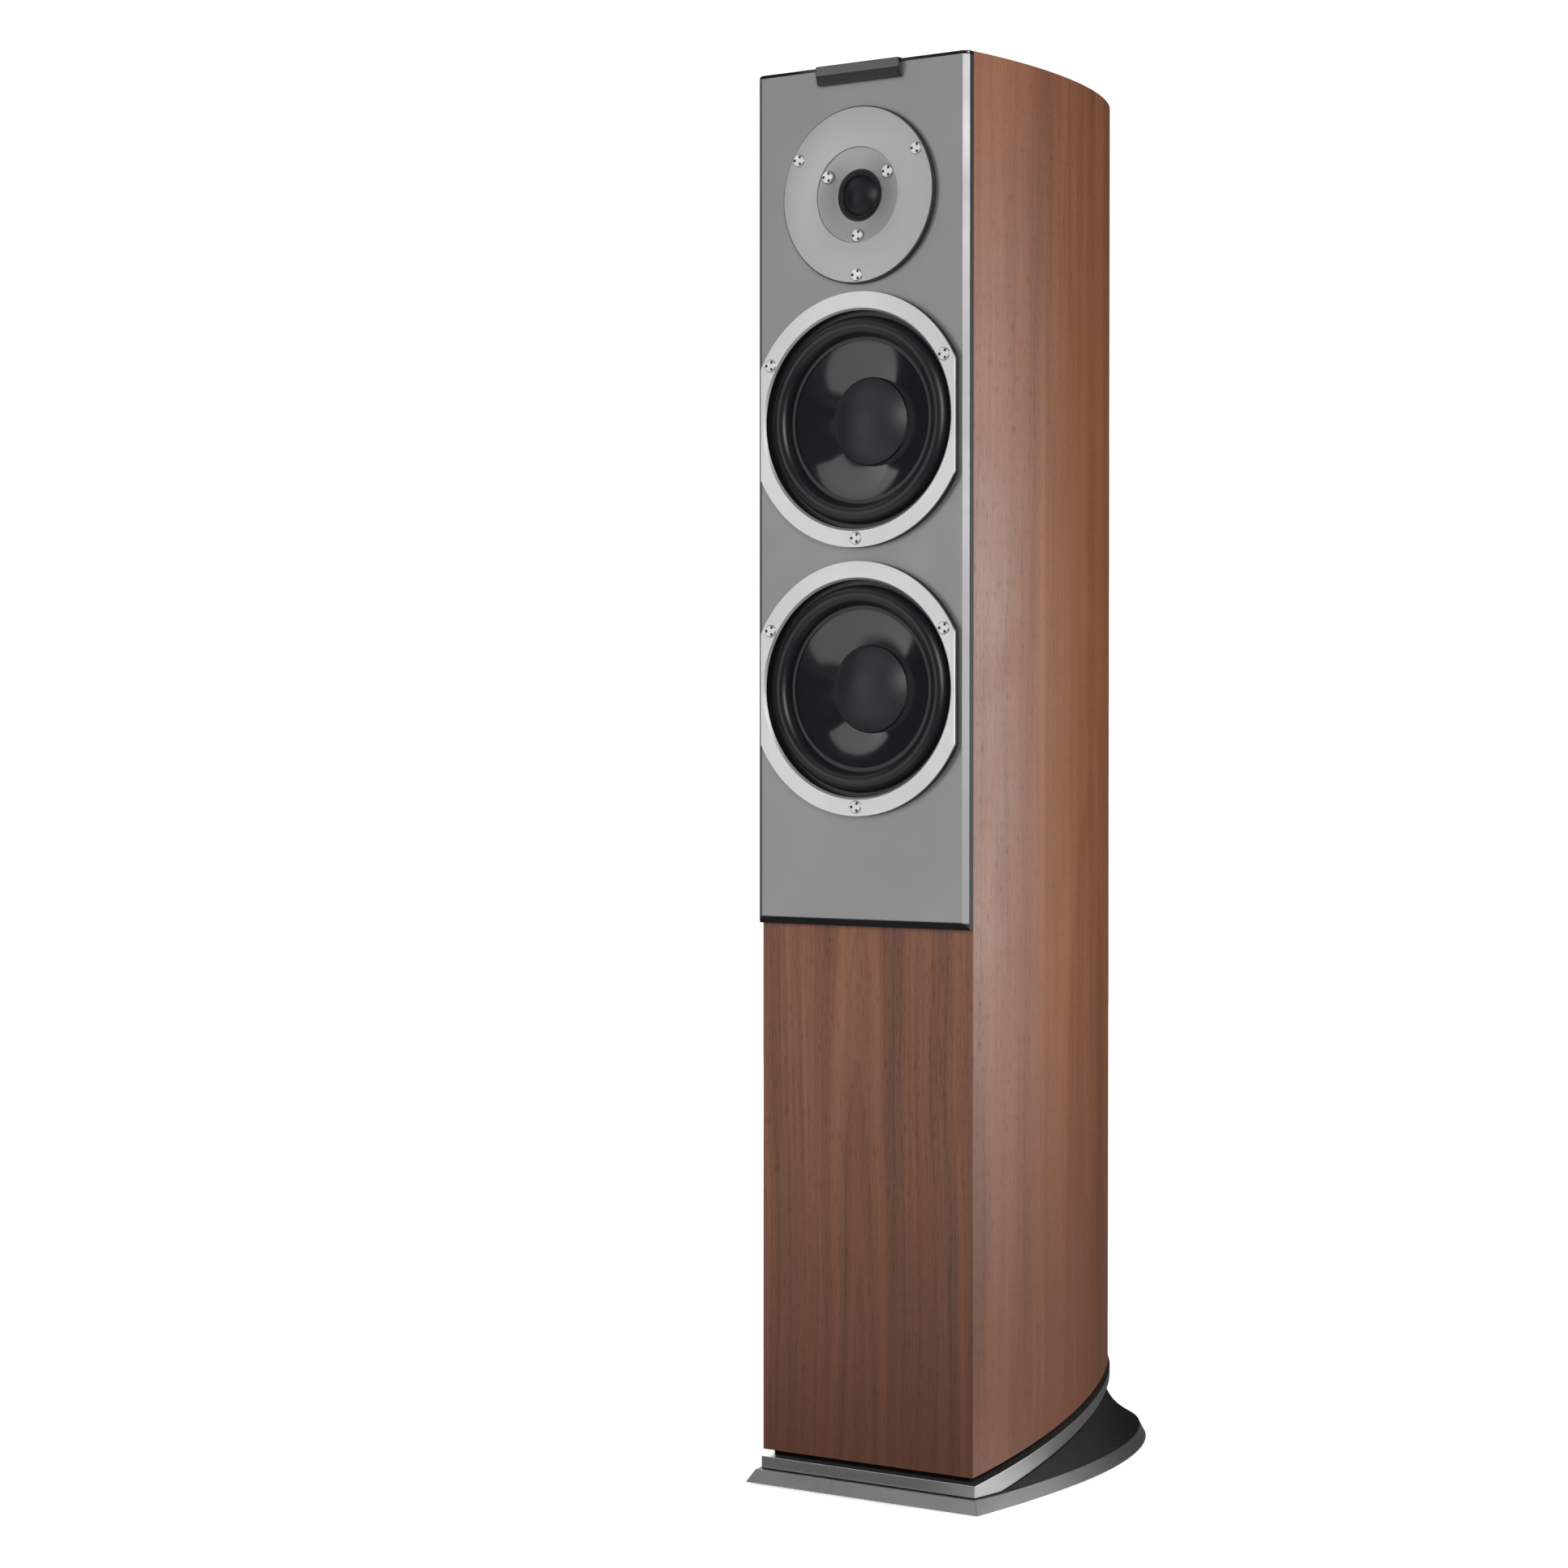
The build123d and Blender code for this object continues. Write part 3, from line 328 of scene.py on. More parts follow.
# %% [markdown]
# ### Handling haze
# Satin and gloss surfaces are never evenly clean. Broad soft clouds and a little fine speckle change
# the roughness by a few hundredths, which is enough to break up a computer-clean highlight.

# %% Shared group: haze
haze, haze_in, haze_out = group(
    "Handling haze",
    [("Vector", VECTOR, None), ("Base", FLOAT, 0.4), ("Amount", FLOAT, 0.08)],
    [("Roughness", FLOAT), ("Mask", FLOAT)])
clouds = noise(haze, haze_in["Vector"], 9.0, 4.0, 0.6, 0.6)
specks = noise(haze, haze_in["Vector"], 900.0, 2.0)
mixed = calc(haze, "ADD", calc(haze, "MULTIPLY", clouds, 0.75), calc(haze, "MULTIPLY", specks, 0.25))
mask = spread(haze, mixed, 0.35, 0.65)
plug(haze, calc(haze, "MULTIPLY_ADD", calc(haze, "SUBTRACT", mask, 0.5), haze_in["Amount"], haze_in["Base"]),
     haze_out["Roughness"])
plug(haze, mask, haze_out["Mask"])

# %% [markdown]
# ### Walnut veneer
# A plain-sawn sheet cuts the tree's growth rings at a shallow angle, so they show as nested arches
# in the middle and as straight lines towards the edges. The group works that out as the tree does:
# it takes the distance from a leaning pith line, which gives hyperbolas, and adds broad colour
# bands, fine fibres and short dark pores, all drawn out along the grain.

# %% Shared group: walnut
walnut, wood_in, wood_out = group(
    "Walnut veneer",
    [("Across", FLOAT, 0.0), ("Along", FLOAT, 0.0), ("Seed", FLOAT, 0.0), ("Pith depth", FLOAT, 0.05),
     ("Lean", FLOAT, 0.05), ("Ring pitch", FLOAT, 0.006), ("Figure", FLOAT, 0.5),
     ("Light", COLOUR, (0.335, 0.135, 0.062, 1)), ("Mid", COLOUR, (0.235, 0.082, 0.035, 1)),
     ("Dark", COLOUR, (0.105, 0.034, 0.015, 1))],
    [("Color", COLOUR), ("Height", FLOAT), ("Pores", FLOAT)])
across, along, seed = wood_in["Across"], wood_in["Along"], wood_in["Seed"]


def grain_point(across_scale, along_scale, start=across):
    """Point of a pattern drawn out along the grain: each direction multiplied by its own scale."""
    return join(walnut, calc(walnut, "MULTIPLY", start, across_scale),
                calc(walnut, "MULTIPLY", along, along_scale), seed)


broad = noise(walnut, grain_point(14.0, 0.9), 1.0, 3.0, 0.55, 0.3)
sway = noise(walnut, grain_point(7.0, 2.4), 1.0, 2.0, 0.4)
sideways = calc(walnut, "MULTIPLY_ADD", calc(walnut, "SUBTRACT", sway, 0.5), 0.045, across)
reach = calc(walnut, "MULTIPLY_ADD", along, wood_in["Lean"], wood_in["Pith depth"])
ring = calc(walnut, "SQRT", calc(walnut, "ADD", calc(walnut, "MULTIPLY", sideways, sideways),
                                 calc(walnut, "MULTIPLY", reach, reach)))
turns = calc(walnut, "DIVIDE", ring, wood_in["Ring pitch"])
uneven = noise(walnut, join(walnut, turns, 0.0, seed), 0.8, 2.0)
season = calc(walnut, "FRACT", calc(walnut, "MULTIPLY_ADD", uneven, 1.6, turns))
late = calc(walnut, "POWER", season, 3.0)
year = noise(walnut, grain_point(0.55, 0.8, turns), 1.0, 1.0)
good_years = spread(walnut, year, 0.36, 0.64, -0.45, 0.55)
line = calc(walnut, "MULTIPLY", calc(walnut, "MULTIPLY_ADD", late, 0.45, good_years), wood_in["Figure"])
fibre = noise(walnut, grain_point(520.0, 7.0), 1.0, 4.0, 0.65)
thread = noise(walnut, grain_point(110.0, 1.6), 1.0, 3.0, 0.6)
pore = noise(walnut, grain_point(1300.0, 110.0), 1.0, 1.0)
dash = spread(walnut, pore, 0.58, 0.70)
tone = calc(walnut, "MULTIPLY_ADD", calc(walnut, "SUBTRACT", broad, 0.5), 1.2, 0.42)
tone = calc(walnut, "MULTIPLY_ADD", calc(walnut, "SUBTRACT", fibre, 0.5), 0.55, tone)
tone = calc(walnut, "MULTIPLY_ADD", calc(walnut, "SUBTRACT", thread, 0.5), 0.55, tone)
tone = calc(walnut, "ADD", tone, line)
tone = calc(walnut, "MULTIPLY_ADD", dash, 0.30, tone, clamp=True)
first = blend_colour(walnut, spread(walnut, tone, 0.0, 0.5), wood_in["Light"], wood_in["Mid"])
plug(walnut, blend_colour(walnut, spread(walnut, tone, 0.5, 1.0), first, wood_in["Dark"]), wood_out["Color"])
plug(walnut, calc(walnut, "SUBTRACT", calc(walnut, "MULTIPLY", fibre, 0.4), dash), wood_out["Height"])
plug(walnut, dash, wood_out["Pores"])


# %% Walnut finishes
def walnut_finish(name, across_axis, seed_value, pith_depth, lean, pitch, figure, across_shift=0.0,
                  painted_low_shade=None, level=1.0):
    """Lacquered veneer: the group's colour under a satin coat, scaled by level as painted light and shade, and
    darker towards the floor as painted shade if asked.

    A side sheet runs across by depth. Its flat back edge adds the width, so the lines stay upright there.
    """
    made, tree, shader, place = blank(name, Coat_Weight=0.12, Coat_Roughness=0.30, Specular_IOR_Level=0.36)
    axes = split(tree, place)
    across = calc(tree, "ADD", axes[across_axis], across_shift)
    if across_axis == "Y":
        back_edge = spread(tree, axes["Y"], BACK_Y - 0.4 * MM, BACK_Y - 0.3 * MM)
        across = calc(tree, "MULTIPLY_ADD", axes["X"], back_edge, across)
    sheet = use(tree, walnut, Across=across, Along=axes["Z"],
                Seed=seed_value, Pith_depth=pith_depth, Lean=lean, Ring_pitch=pitch, Figure=figure)
    # Painted light and shade: level scales the sheet's colour.
    colour = dimmed(tree, sheet["Color"], level)
    if painted_low_shade:
        # Painted shade: below 0.36 m the colour goes towards the low shade colour, standing in for light
        # falling off near the floor.
        low_shade_share = spread(tree, axes["Z"], 0.36, 0.03)
        colour = blend_colour(tree, calc(tree, "MULTIPLY", low_shade_share, painted_low_shade[3]), colour, (*painted_low_shade[:3], 1))
    plug(tree, colour, shader.inputs["Base Color"])
    clean = use(tree, haze, Vector=place, Base=0.42, Amount=0.10)
    dulled = calc(tree, "MULTIPLY_ADD", sheet["Pores"], 0.12, clean["Roughness"])
    plug(tree, dulled, shader.inputs["Roughness"])
    relief(tree, shader, sheet["Height"], 0.12, 0.0002)
    return made


# Painted light and shade: the front sheet is dimmed to 0.86 and the side sheet brightened to 1.07, and both
# darken towards the floor as painted shade.
front_walnut = walnut_finish("Walnut, front sheet", "X", 3.7, 0.0, 0.046, 0.0062, 0.44, 0.004,
                             (0.085, 0.030, 0.018, 0.62), 0.86)
side_walnut = walnut_finish("Walnut, side sheet", "Y", 9.1, 0.30, 0.012, 0.009, 0.26, 0.0,
                            (0.085, 0.032, 0.022, 0.46), 1.07)
top_walnut = walnut_finish("Walnut, top sheet", "X", 5.2, 0.06, 0.02, 0.006, 0.4)

# %% [markdown]
# ### Metals
# The front plate and the rings are aluminium with a fine bead-blasted, clear-anodised skin. Under a
# softbox it looks almost like paint, so the speckle is tiny and shallow and the roughness high. The
# screws and terminals are plated and smoother.

# %% Shared group: blasted metal
blasted, blast_in, blast_out = group(
    "Blasted metal",
    [("Vector", VECTOR, None), ("Tint", COLOUR, (0.6, 0.6, 0.6, 1)), ("Variation", FLOAT, 0.08),
     ("Grain scale", FLOAT, 2600.0), ("Base roughness", FLOAT, 0.4)],
    [("Color", COLOUR), ("Roughness", FLOAT), ("Height", FLOAT)])
grit = add(blasted, "ShaderNodeTexNoise")
plug(blasted, blast_in["Vector"], grit.inputs["Vector"])
plug(blasted, blast_in["Grain scale"], grit.inputs["Scale"])
grit.inputs["Detail"].default_value = 2.0
patch = noise(blasted, blast_in["Vector"], 14.0, 4.0, 0.6, 0.4)
tilt = calc(blasted, "ADD", calc(blasted, "SUBTRACT", grit.outputs["Fac"], 0.5),
            calc(blasted, "MULTIPLY", calc(blasted, "SUBTRACT", patch, 0.5), 0.7))
tint_level = calc(blasted, "MULTIPLY_ADD", tilt, blast_in["Variation"], 1.0)
plug(blasted, dimmed(blasted, blast_in["Tint"], tint_level), blast_out["Color"])
plug(blasted, calc(blasted, "MULTIPLY_ADD", tilt, 0.16, blast_in["Base roughness"], clamp=True),
     blast_out["Roughness"])
plug(blasted, grit.outputs["Fac"], blast_out["Height"])


def metal_finish(name, tint, roughness, metallic=1.0, variation=0.08, grain=2600.0, bump=0.05, uneven=0.05,
                 edge=None, **shader_values):
    """Metal with the blasted skin; edge, if given, makes a mask of the parts painted near black: painted shade
    on the plate's edges, and a black flange with painted shade on the ring's wall.
    """
    made, tree, shader, place = blank(name, Metallic=metallic, **shader_values)
    skin = use(tree, blasted, Vector=place, Tint=(*tint, 1), Variation=variation, Grain_scale=grain,
               Base_roughness=roughness)
    colour = skin["Color"]
    if edge:
        mask = edge(tree, split(tree, place))
        # The masked parts take a near-black colour and lose their metal: painted shade on the plate, and a
        # black flange with painted shade on the ring.
        colour = blend_colour(tree, mask, colour, (0.006, 0.006, 0.007, 1))
        plug(tree, calc(tree, "MULTIPLY_ADD", mask, -metallic, metallic), shader.inputs["Metallic"])
    plug(tree, colour, shader.inputs["Base Color"])
    clean = use(tree, haze, Vector=place, Base=0.0, Amount=uneven)
    worn = calc(tree, "ADD", skin["Roughness"], clean["Roughness"], clamp=True)
    plug(tree, worn, shader.inputs["Roughness"])
    relief(tree, shader, skin["Height"], bump, 0.00012)
    return made


PLATE_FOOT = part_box("baffle_plate")[0].z + 4.9 * MM
SKIRT_TOP = PLATE_Y - 4.7 * MM


def plate_edge_shade(tree, axes):
    """Painted shade: the sides of the plate behind its bevels and the bevel under its foot, painted black where
    shade falls.
    """
    sides = calc(tree, "GREATER_THAN", calc(tree, "ABSOLUTE", axes["X"]), HALF_FRONT - 0.25 * MM)
    return calc(tree, "MAXIMUM", sides, calc(tree, "LESS_THAN", axes["Z"], PLATE_FOOT))


def ring_skirt(tree, axes):
    """Wall of the ring between its bright face and the plate: a black flange under the bright face, painted
    black, which also stands for the shade on the ring's side.
    """
    return calc(tree, "GREATER_THAN", axes["Y"], SKIRT_TOP)


plate_grey = metal_finish("Grey anodised plate", (0.28, 0.28, 0.285), 0.48, 0.75, 0.05, edge=plate_edge_shade)
# The ring's wall is painted black: a black flange, which also serves as painted shade on its side.
ring_silver = metal_finish("Bright blasted ring", (0.545, 0.542, 0.548), 0.42, 0.8, 0.03, edge=ring_skirt)
face_silver = metal_finish("Tweeter face aluminium", (0.41, 0.406, 0.414), 0.46, 0.6, 0.04)
dish_silver = metal_finish("Tweeter dish aluminium", (0.325, 0.32, 0.328), 0.44, 0.6, 0.04)
plinth_silver = metal_finish("Plinth lacquered silver", (0.38, 0.376, 0.38), 0.30, 0.9, 0.015, uneven=0.01)
plated = metal_finish("Plated screw", (0.52, 0.515, 0.51), 0.38, 0.82, 0.04)
zinc = metal_finish("Zinc plated steel", (0.55, 0.56, 0.58), 0.38, 1.0, 0.10, 900.0)
gilt = metal_finish("Gold plating", (0.83, 0.60, 0.25), 0.20, 1.0, 0.04)
cast_black = metal_finish("Black powder coat", (0.022, 0.022, 0.024), 0.55, 0.0, 0.25, 1400.0, 0.35)
ferrite = metal_finish("Ferrite", (0.06, 0.06, 0.065), 0.7, 0.0, 0.2, 700.0, 0.3)

# %% [markdown]
# ### Plastics, rubber and coated paper
# The plinth body is moulded with a fine leathery texture. The trim and the tab are high gloss. The
# roll is soft butyl rubber with a dry sheen. The cones are paper under a hard shiny coat, so they
# mirror the softboxes, and the caps in their middles are satin.

# %% Shared group: moulded texture
moulded, mould_in, mould_out = group(
    "Moulded texture",
    [("Vector", VECTOR, None), ("Tint", COLOUR, (0.03, 0.03, 0.03, 1)), ("Scale", FLOAT, 1500.0),
     ("Depth", FLOAT, 0.5)],
    [("Color", COLOUR), ("Height", FLOAT)])
cells = add(moulded, "ShaderNodeTexVoronoi")
plug(moulded, mould_in["Vector"], cells.inputs["Vector"])
plug(moulded, mould_in["Scale"], cells.inputs["Scale"])
dapple = noise(moulded, mould_in["Vector"], 160.0, 5.0, 0.7)
lift = calc(moulded, "MULTIPLY_ADD", cells.outputs["Distance"], mould_in["Depth"],
            calc(moulded, "MULTIPLY", dapple, 0.5))
plug(moulded, lift, mould_out["Height"])
dapple_level = spread(moulded, dapple, 0.3, 0.75, 0.88, 1.14)
plug(moulded, dimmed(moulded, mould_in["Tint"], dapple_level), mould_out["Color"])


def moulded_finish(name, tint, roughness, scale=1500.0, bump=0.3, distance=0.0002, haze_amount=0.08,
                   **shader_values):
    """Moulded or coated non-metal."""
    made, tree, shader, place = blank(name, **shader_values)
    skin = use(tree, moulded, Vector=place, Tint=(*tint, 1), Scale=scale, Depth=0.5)
    plug(tree, skin["Color"], shader.inputs["Base Color"])
    clean = use(tree, haze, Vector=place, Base=roughness, Amount=haze_amount)
    plug(tree, clean["Roughness"], shader.inputs["Roughness"])
    relief(tree, shader, skin["Height"], bump, distance)
    return made


textured_black = moulded_finish(
    "Textured black moulding", (0.005, 0.005, 0.006), 0.55, 620.0, 0.9, 0.0006, Specular_IOR_Level=0.18)
# The recessed spacer is dark, and its near-black finish without gloss also paints the shade of the gap under
# the wood.
gap_shade_black = moulded_finish(
    "Shadow gap black", (0.003, 0.003, 0.003), 0.7, 900.0, 0.2, 0.0002, Specular_IOR_Level=0.06)
gloss_black = moulded_finish("Gloss black trim", (0.012, 0.012, 0.014), 0.12, 2000.0, 0.01)
matt_black = moulded_finish("Matt black plastic", (0.018, 0.018, 0.02), 0.5, 1600.0, 0.25)
roll_rubber = moulded_finish("Butyl rubber roll", (0.009, 0.009, 0.011), 0.34, 2400.0, 0.05,
                             Specular_IOR_Level=0.30, Sheen_Weight=0.04, Sheen_Roughness=0.4)
cone_gloss = moulded_finish("Coated cone", (0.014, 0.014, 0.017), 0.12, 500.0, 0.03, 0.0001, 0.03,
                            Coat_Weight=0.4, Coat_Roughness=0.08)
cap_satin = moulded_finish("Satin dust cap", (0.014, 0.014, 0.017), 0.46, 2600.0, 0.06,
                           Specular_IOR_Level=0.4)
dome_gloss = moulded_finish("Coated soft dome", (0.009, 0.009, 0.011), 0.42, 3200.0, 0.10,
                            Specular_IOR_Level=0.22)
foot_rubber = moulded_finish("Foot rubber", (0.02, 0.02, 0.02), 0.7, 900.0, 0.3)
red_gloss = moulded_finish("Red terminal plastic", (0.42, 0.012, 0.01), 0.22, 1600.0, 0.05)
green_board = moulded_finish("Printed board", (0.02, 0.10, 0.045), 0.35, 300.0, 0.2)
yellow_film = moulded_finish("Wrapped film", (0.60, 0.42, 0.05), 0.3, 500.0, 0.05)
wadding_white = moulded_finish("Fibre wadding", (0.62, 0.60, 0.55), 0.9, 260.0, 1.0, 0.003)
raw_board = moulded_finish("Raw fibreboard", (0.30, 0.20, 0.11), 0.8, 700.0, 0.4)
spider_cloth = moulded_finish("Dipped cloth", (0.50, 0.36, 0.14), 0.75, 1400.0, 0.6)
enamel_copper = moulded_finish("Enamelled winding", (0.40, 0.12, 0.04), 0.28, 1800.0, 0.3, Metallic=0.7)
cable_grey = moulded_finish("Cable insulation", (0.08, 0.08, 0.09), 0.5, 900.0, 0.1)
print("materials", len(bpy.data.materials))

# %% Finishes on the CAD nodes
FINISH_OF_SLOT = {
    "veneer": top_walnut, "board": raw_board, "wadding": wadding_white, "plate": plate_grey,
    "black_gloss": gloss_black, "black_plastic": matt_black, "silver": plinth_silver,
    "black_texture": textured_black, "steel": zinc, "rubber": roll_rubber, "bright_silver": ring_silver,
    "black_metal": cast_black, "cone_black": cone_gloss, "cap_grey": cap_satin, "cloth": spider_cloth,
    "copper": enamel_copper, "ferrite": ferrite, "foam": foot_rubber, "satin_aluminium": face_silver,
    "dome_cloth": dome_gloss, "gold": gilt, "red_plastic": red_gloss, "board_green": green_board,
    "can_yellow": yellow_film, "cable": cable_grey,
}
FINISH_OF_NODE = {
    "front_board": front_walnut, "left_side_panel": side_walnut, "right_side_panel": side_walnut,
    "back_panel": top_walnut, "woofer_screws": plated, "tweeter_screws": plated, "tweeter_dish": dish_silver,
    "feet": foot_rubber, "plinth_spacer": gap_shade_black,
}
for name, piece in nodes.items():
    piece.data.materials.clear()
    piece.data.materials.append(FINISH_OF_NODE.get(name, FINISH_OF_SLOT[SLOT_OF[name]]))
print("CAD nodes finished", len(nodes))

# %% [markdown]
# ## Woofers
# Each woofer is turned work about its own axis. The ring has upright flats, so its outer radius
# depends on the angle; everything inside it is round. Levels count forwards from the front plate.

# %% Ring with flats
RING_R, RING_FLAT, RING_MOUTH, RING_T = 91.0 * MM, 81.7 * MM, 77.8 * MM, 6.3 * MM
EDGE = 0.6 * MM
BEVEL = 1.6 * MM


def ring_with_flats(name, height):
    """Profile carried round: outer points follow the smaller of radius and flat, inner ones a circle."""
    corners = np.array([[0, 0, 0], [1, 0, 0], [1, 0, RING_T], [0, BEVEL, RING_T], [0, 0, RING_T - BEVEL]])
    section = rounded(corners, [0, 0, EDGE, EDGE * 0.5, EDGE * 0.5], 5)
    corner = acos(RING_FLAT / RING_R)
    stops = np.array([-corner, corner, pi - corner, pi + corner, tau - corner])
    angle = np.concatenate([np.linspace(a, b, 60, endpoint=False) for a, b in zip(stops[:-1], stops[1:])])
    outer = np.minimum(RING_R, RING_FLAT / np.maximum(np.abs(np.cos(angle)), 1e-6))
    radius = RING_MOUTH + section[:, 0] * (outer[:, None] - RING_MOUTH) + section[:, 1]
    x = np.cos(angle)[:, None] * radius
    z = height + np.sin(angle)[:, None] * radius
    y = PLATE_Y - np.broadcast_to(section[:, 2], x.shape)
    return surface(name, np.stack([x, y, z], -1))


for label, height in (("lower", LOW_Z), ("upper", HIGH_Z)):
    ring_piece = ring_with_flats(f"{label}_ring", height)
    finish_piece(ring_piece, ring_silver, "cabinet_body", f"{label}_woofer_trim_ring")

# %% Roll surround
LIP_T = 2.0 * MM
ROLL_R, ROLL_HALF, ROLL_WALL = 67.0 * MM, 7.0 * MM, 1.2 * MM
CONE_R, NECK_R, NECK_LEVEL, CONE_SAG = 58.6 * MM, 16.9 * MM, -23.0 * MM, 2.2 * MM
LIP_R = 79.8 * MM


def roll_profile(mean, half, wall, inner, outer, level):
    """Lip, half circle and lip, followed by the same line set in by the wall."""
    angle = np.linspace(pi, 0, 40)
    outside, inside = half + wall / 2, half - wall / 2
    top = np.stack([mean + outside * np.cos(angle), level + wall * 0.5 + outside * np.sin(angle)], -1)
    low = np.stack([mean + inside * np.cos(angle), level + inside * np.sin(angle)], -1)
    top = np.concatenate([[[inner, level + wall]], top[1:-1], [[outer, level + wall]]])
    low = np.concatenate([[[inner, level]], low, [[outer, level]]])
    return np.concatenate([top, low[::-1]])


def bend_by_radius(piece, height, fixed_r, moving_r):
    """Bake a ring's transform and work out, by distance from the driver axis, how far each point lies between
    the chassis and a moving body; the share is not stored.
    """
    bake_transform(piece)
    place = np.zeros(len(piece.data.vertices) * 3)
    piece.data.vertices.foreach_get("co", place)
    place = place.reshape(-1, 3)
    radius = np.hypot(place[:, 0], place[:, 2] - height)
    share = np.clip((fixed_r - radius) / (fixed_r - moving_r), 0, 1)
    share = share * share * (3 - 2 * share)


for label, height in (("lower", LOW_Z), ("upper", HIGH_Z)):
    profile = roll_profile(ROLL_R, ROLL_HALF, ROLL_WALL, CONE_R - LIP_T, LIP_R, -LIP_T)
    roll = turned(f"{label}_roll", profile, height)
    finish_piece(roll, roll_rubber, None, f"{label}_woofer_surround")
    bend_by_radius(roll, height, ROLL_R + ROLL_HALF, ROLL_R - ROLL_HALF)


# %% Cone and cap
def arc_through(start, middle, end, count):
    """Points on the circle through three points, from the first to the last."""
    a, b, c = (complex(*point) for point in (start, middle, end))
    w = (c - a) / (b - a)
    centre = (b - a) * (w - abs(w) ** 2) / (2j * w.imag) + a
    first, last = np.angle(a - centre), np.angle(c - centre)
    swing = (last - first + pi) % tau - pi
    ring = centre + abs(a - centre) * np.exp(1j * (first + swing * np.linspace(0, 1, count)))
    return np.stack([ring.real, ring.imag], -1)


CONE_WALL = 1.0 * MM
CAP_R, CAP_LEVEL, CAP_RISE, CAP_WALL = 31.0 * MM, -12.9 * MM, 9.5 * MM, 0.8 * MM


def cone_profile():
    """Face of the cone as one arc, then the same arc set back by its wall."""
    middle = ((CONE_R + NECK_R) / 2, (NECK_LEVEL - LIP_T) / 2 + CONE_SAG)
    face = arc_through((CONE_R, -LIP_T), middle, (NECK_R, NECK_LEVEL), 48)
    return np.concatenate([face, face[::-1] - [0, CONE_WALL]])


def cap_profile(radius, rise, wall, level, count=40):
    """Outer arc from rim to crown, then the inner arc back to the rim."""
    ball = (radius ** 2 + rise ** 2) / (2 * rise)
    angle = np.linspace(np.arcsin(radius / ball), 0, count)
    outer = np.stack([ball * np.sin(angle), level + rise - ball + ball * np.cos(angle)], -1)
    inner_ball = ball - wall
    inner_angle = np.linspace(0, np.arccos((ball - rise) / inner_ball), count)
    inner_level = level + rise - ball + inner_ball * np.cos(inner_angle)
    inner = np.stack([inner_ball * np.sin(inner_angle), inner_level], -1)
    return np.concatenate([outer, inner])


for label, height in (("lower", LOW_Z), ("upper", HIGH_Z)):
    body = f"{label}_cone_body"
    finish_piece(turned(f"{label}_cone", cone_profile(), height), cone_gloss, body, f"{label}_woofer_cone")
    cap = turned(f"{label}_cap", cap_profile(CAP_R, CAP_RISE, CAP_WALL, CAP_LEVEL), height)
    finish_piece(cap, cap_satin, body, f"{label}_woofer_dust_cap")

# %% [markdown]
# ## Tweeter
# A flat aluminium ring on a black flange, a shallow dish let into it, and a soft dome in its throat.

# %% Tweeter face, dish and dome
FACE_R, DISH_R, THROAT_R = 62.3 * MM, 34.0 * MM, 18.5 * MM
BODY_T, FACE_T = 3.8 * MM, 1.3 * MM
DISH_EDGE, DISH_THROAT = 4.3 * MM, 1.3 * MM
DOME_R, DOME_RISE, DOME_WALL, DOME_SEAT = 14.0 * MM, 5.0 * MM, 0.4 * MM, 0.4 * MM
SMALL_ROLL_R, SMALL_ROLL_HALF, SMALL_ROLL_WALL = 15.4 * MM, 0.9 * MM, 0.4 * MM
SMALL_LIP_IN, SMALL_LIP_OUT = 14.05 * MM, 18.45 * MM

face = rounded([[DISH_R, BODY_T], [FACE_R, BODY_T], [FACE_R, BODY_T + FACE_T], [DISH_R, BODY_T + FACE_T]],
               [0, 0, EDGE * 0.7, EDGE * 0.5])
finish_piece(turned("tweeter_face", face, TWEETER_Z), face_silver, "cabinet_body", "tweeter_faceplate")
dish = rounded([[THROAT_R, 0], [DISH_R - 0.1 * MM, 0], [DISH_R - 0.1 * MM, DISH_EDGE], [THROAT_R, DISH_THROAT]],
               [0, 0, EDGE * 0.4, EDGE])
finish_piece(turned("tweeter_bowl", dish, TWEETER_Z), dish_silver, "cabinet_body", "tweeter_dish")
dome = turned("tweeter_soft_dome", cap_profile(DOME_R, DOME_RISE, DOME_WALL, DOME_SEAT), TWEETER_Z)
finish_piece(dome, dome_gloss, "tweeter_dome_body", "tweeter_dome")
small_profile = roll_profile(SMALL_ROLL_R, SMALL_ROLL_HALF, SMALL_ROLL_WALL,
                             SMALL_LIP_IN, SMALL_LIP_OUT, 0.0)
small_roll = turned("tweeter_roll", small_profile, TWEETER_Z)
finish_piece(small_roll, dome_gloss, None, "tweeter_surround")
bend_by_radius(small_roll, TWEETER_Z, SMALL_ROLL_R + SMALL_ROLL_HALF,
               SMALL_ROLL_R - SMALL_ROLL_HALF)

# %% [markdown]
# ## Softened edges
# A machined or moulded part has a small radius on every edge, and that radius is what draws a bright
# line round it. For the plate, the plinth and the fittings a copy of the CAD mesh is joined up, its
# flat facets are merged, and a Bevel modifier rounds each edge sharper than a limit.

# %% CAD shapes with rounded edges
FACET_LIMIT, EDGE_LIMIT = radians(0.3), radians(35)


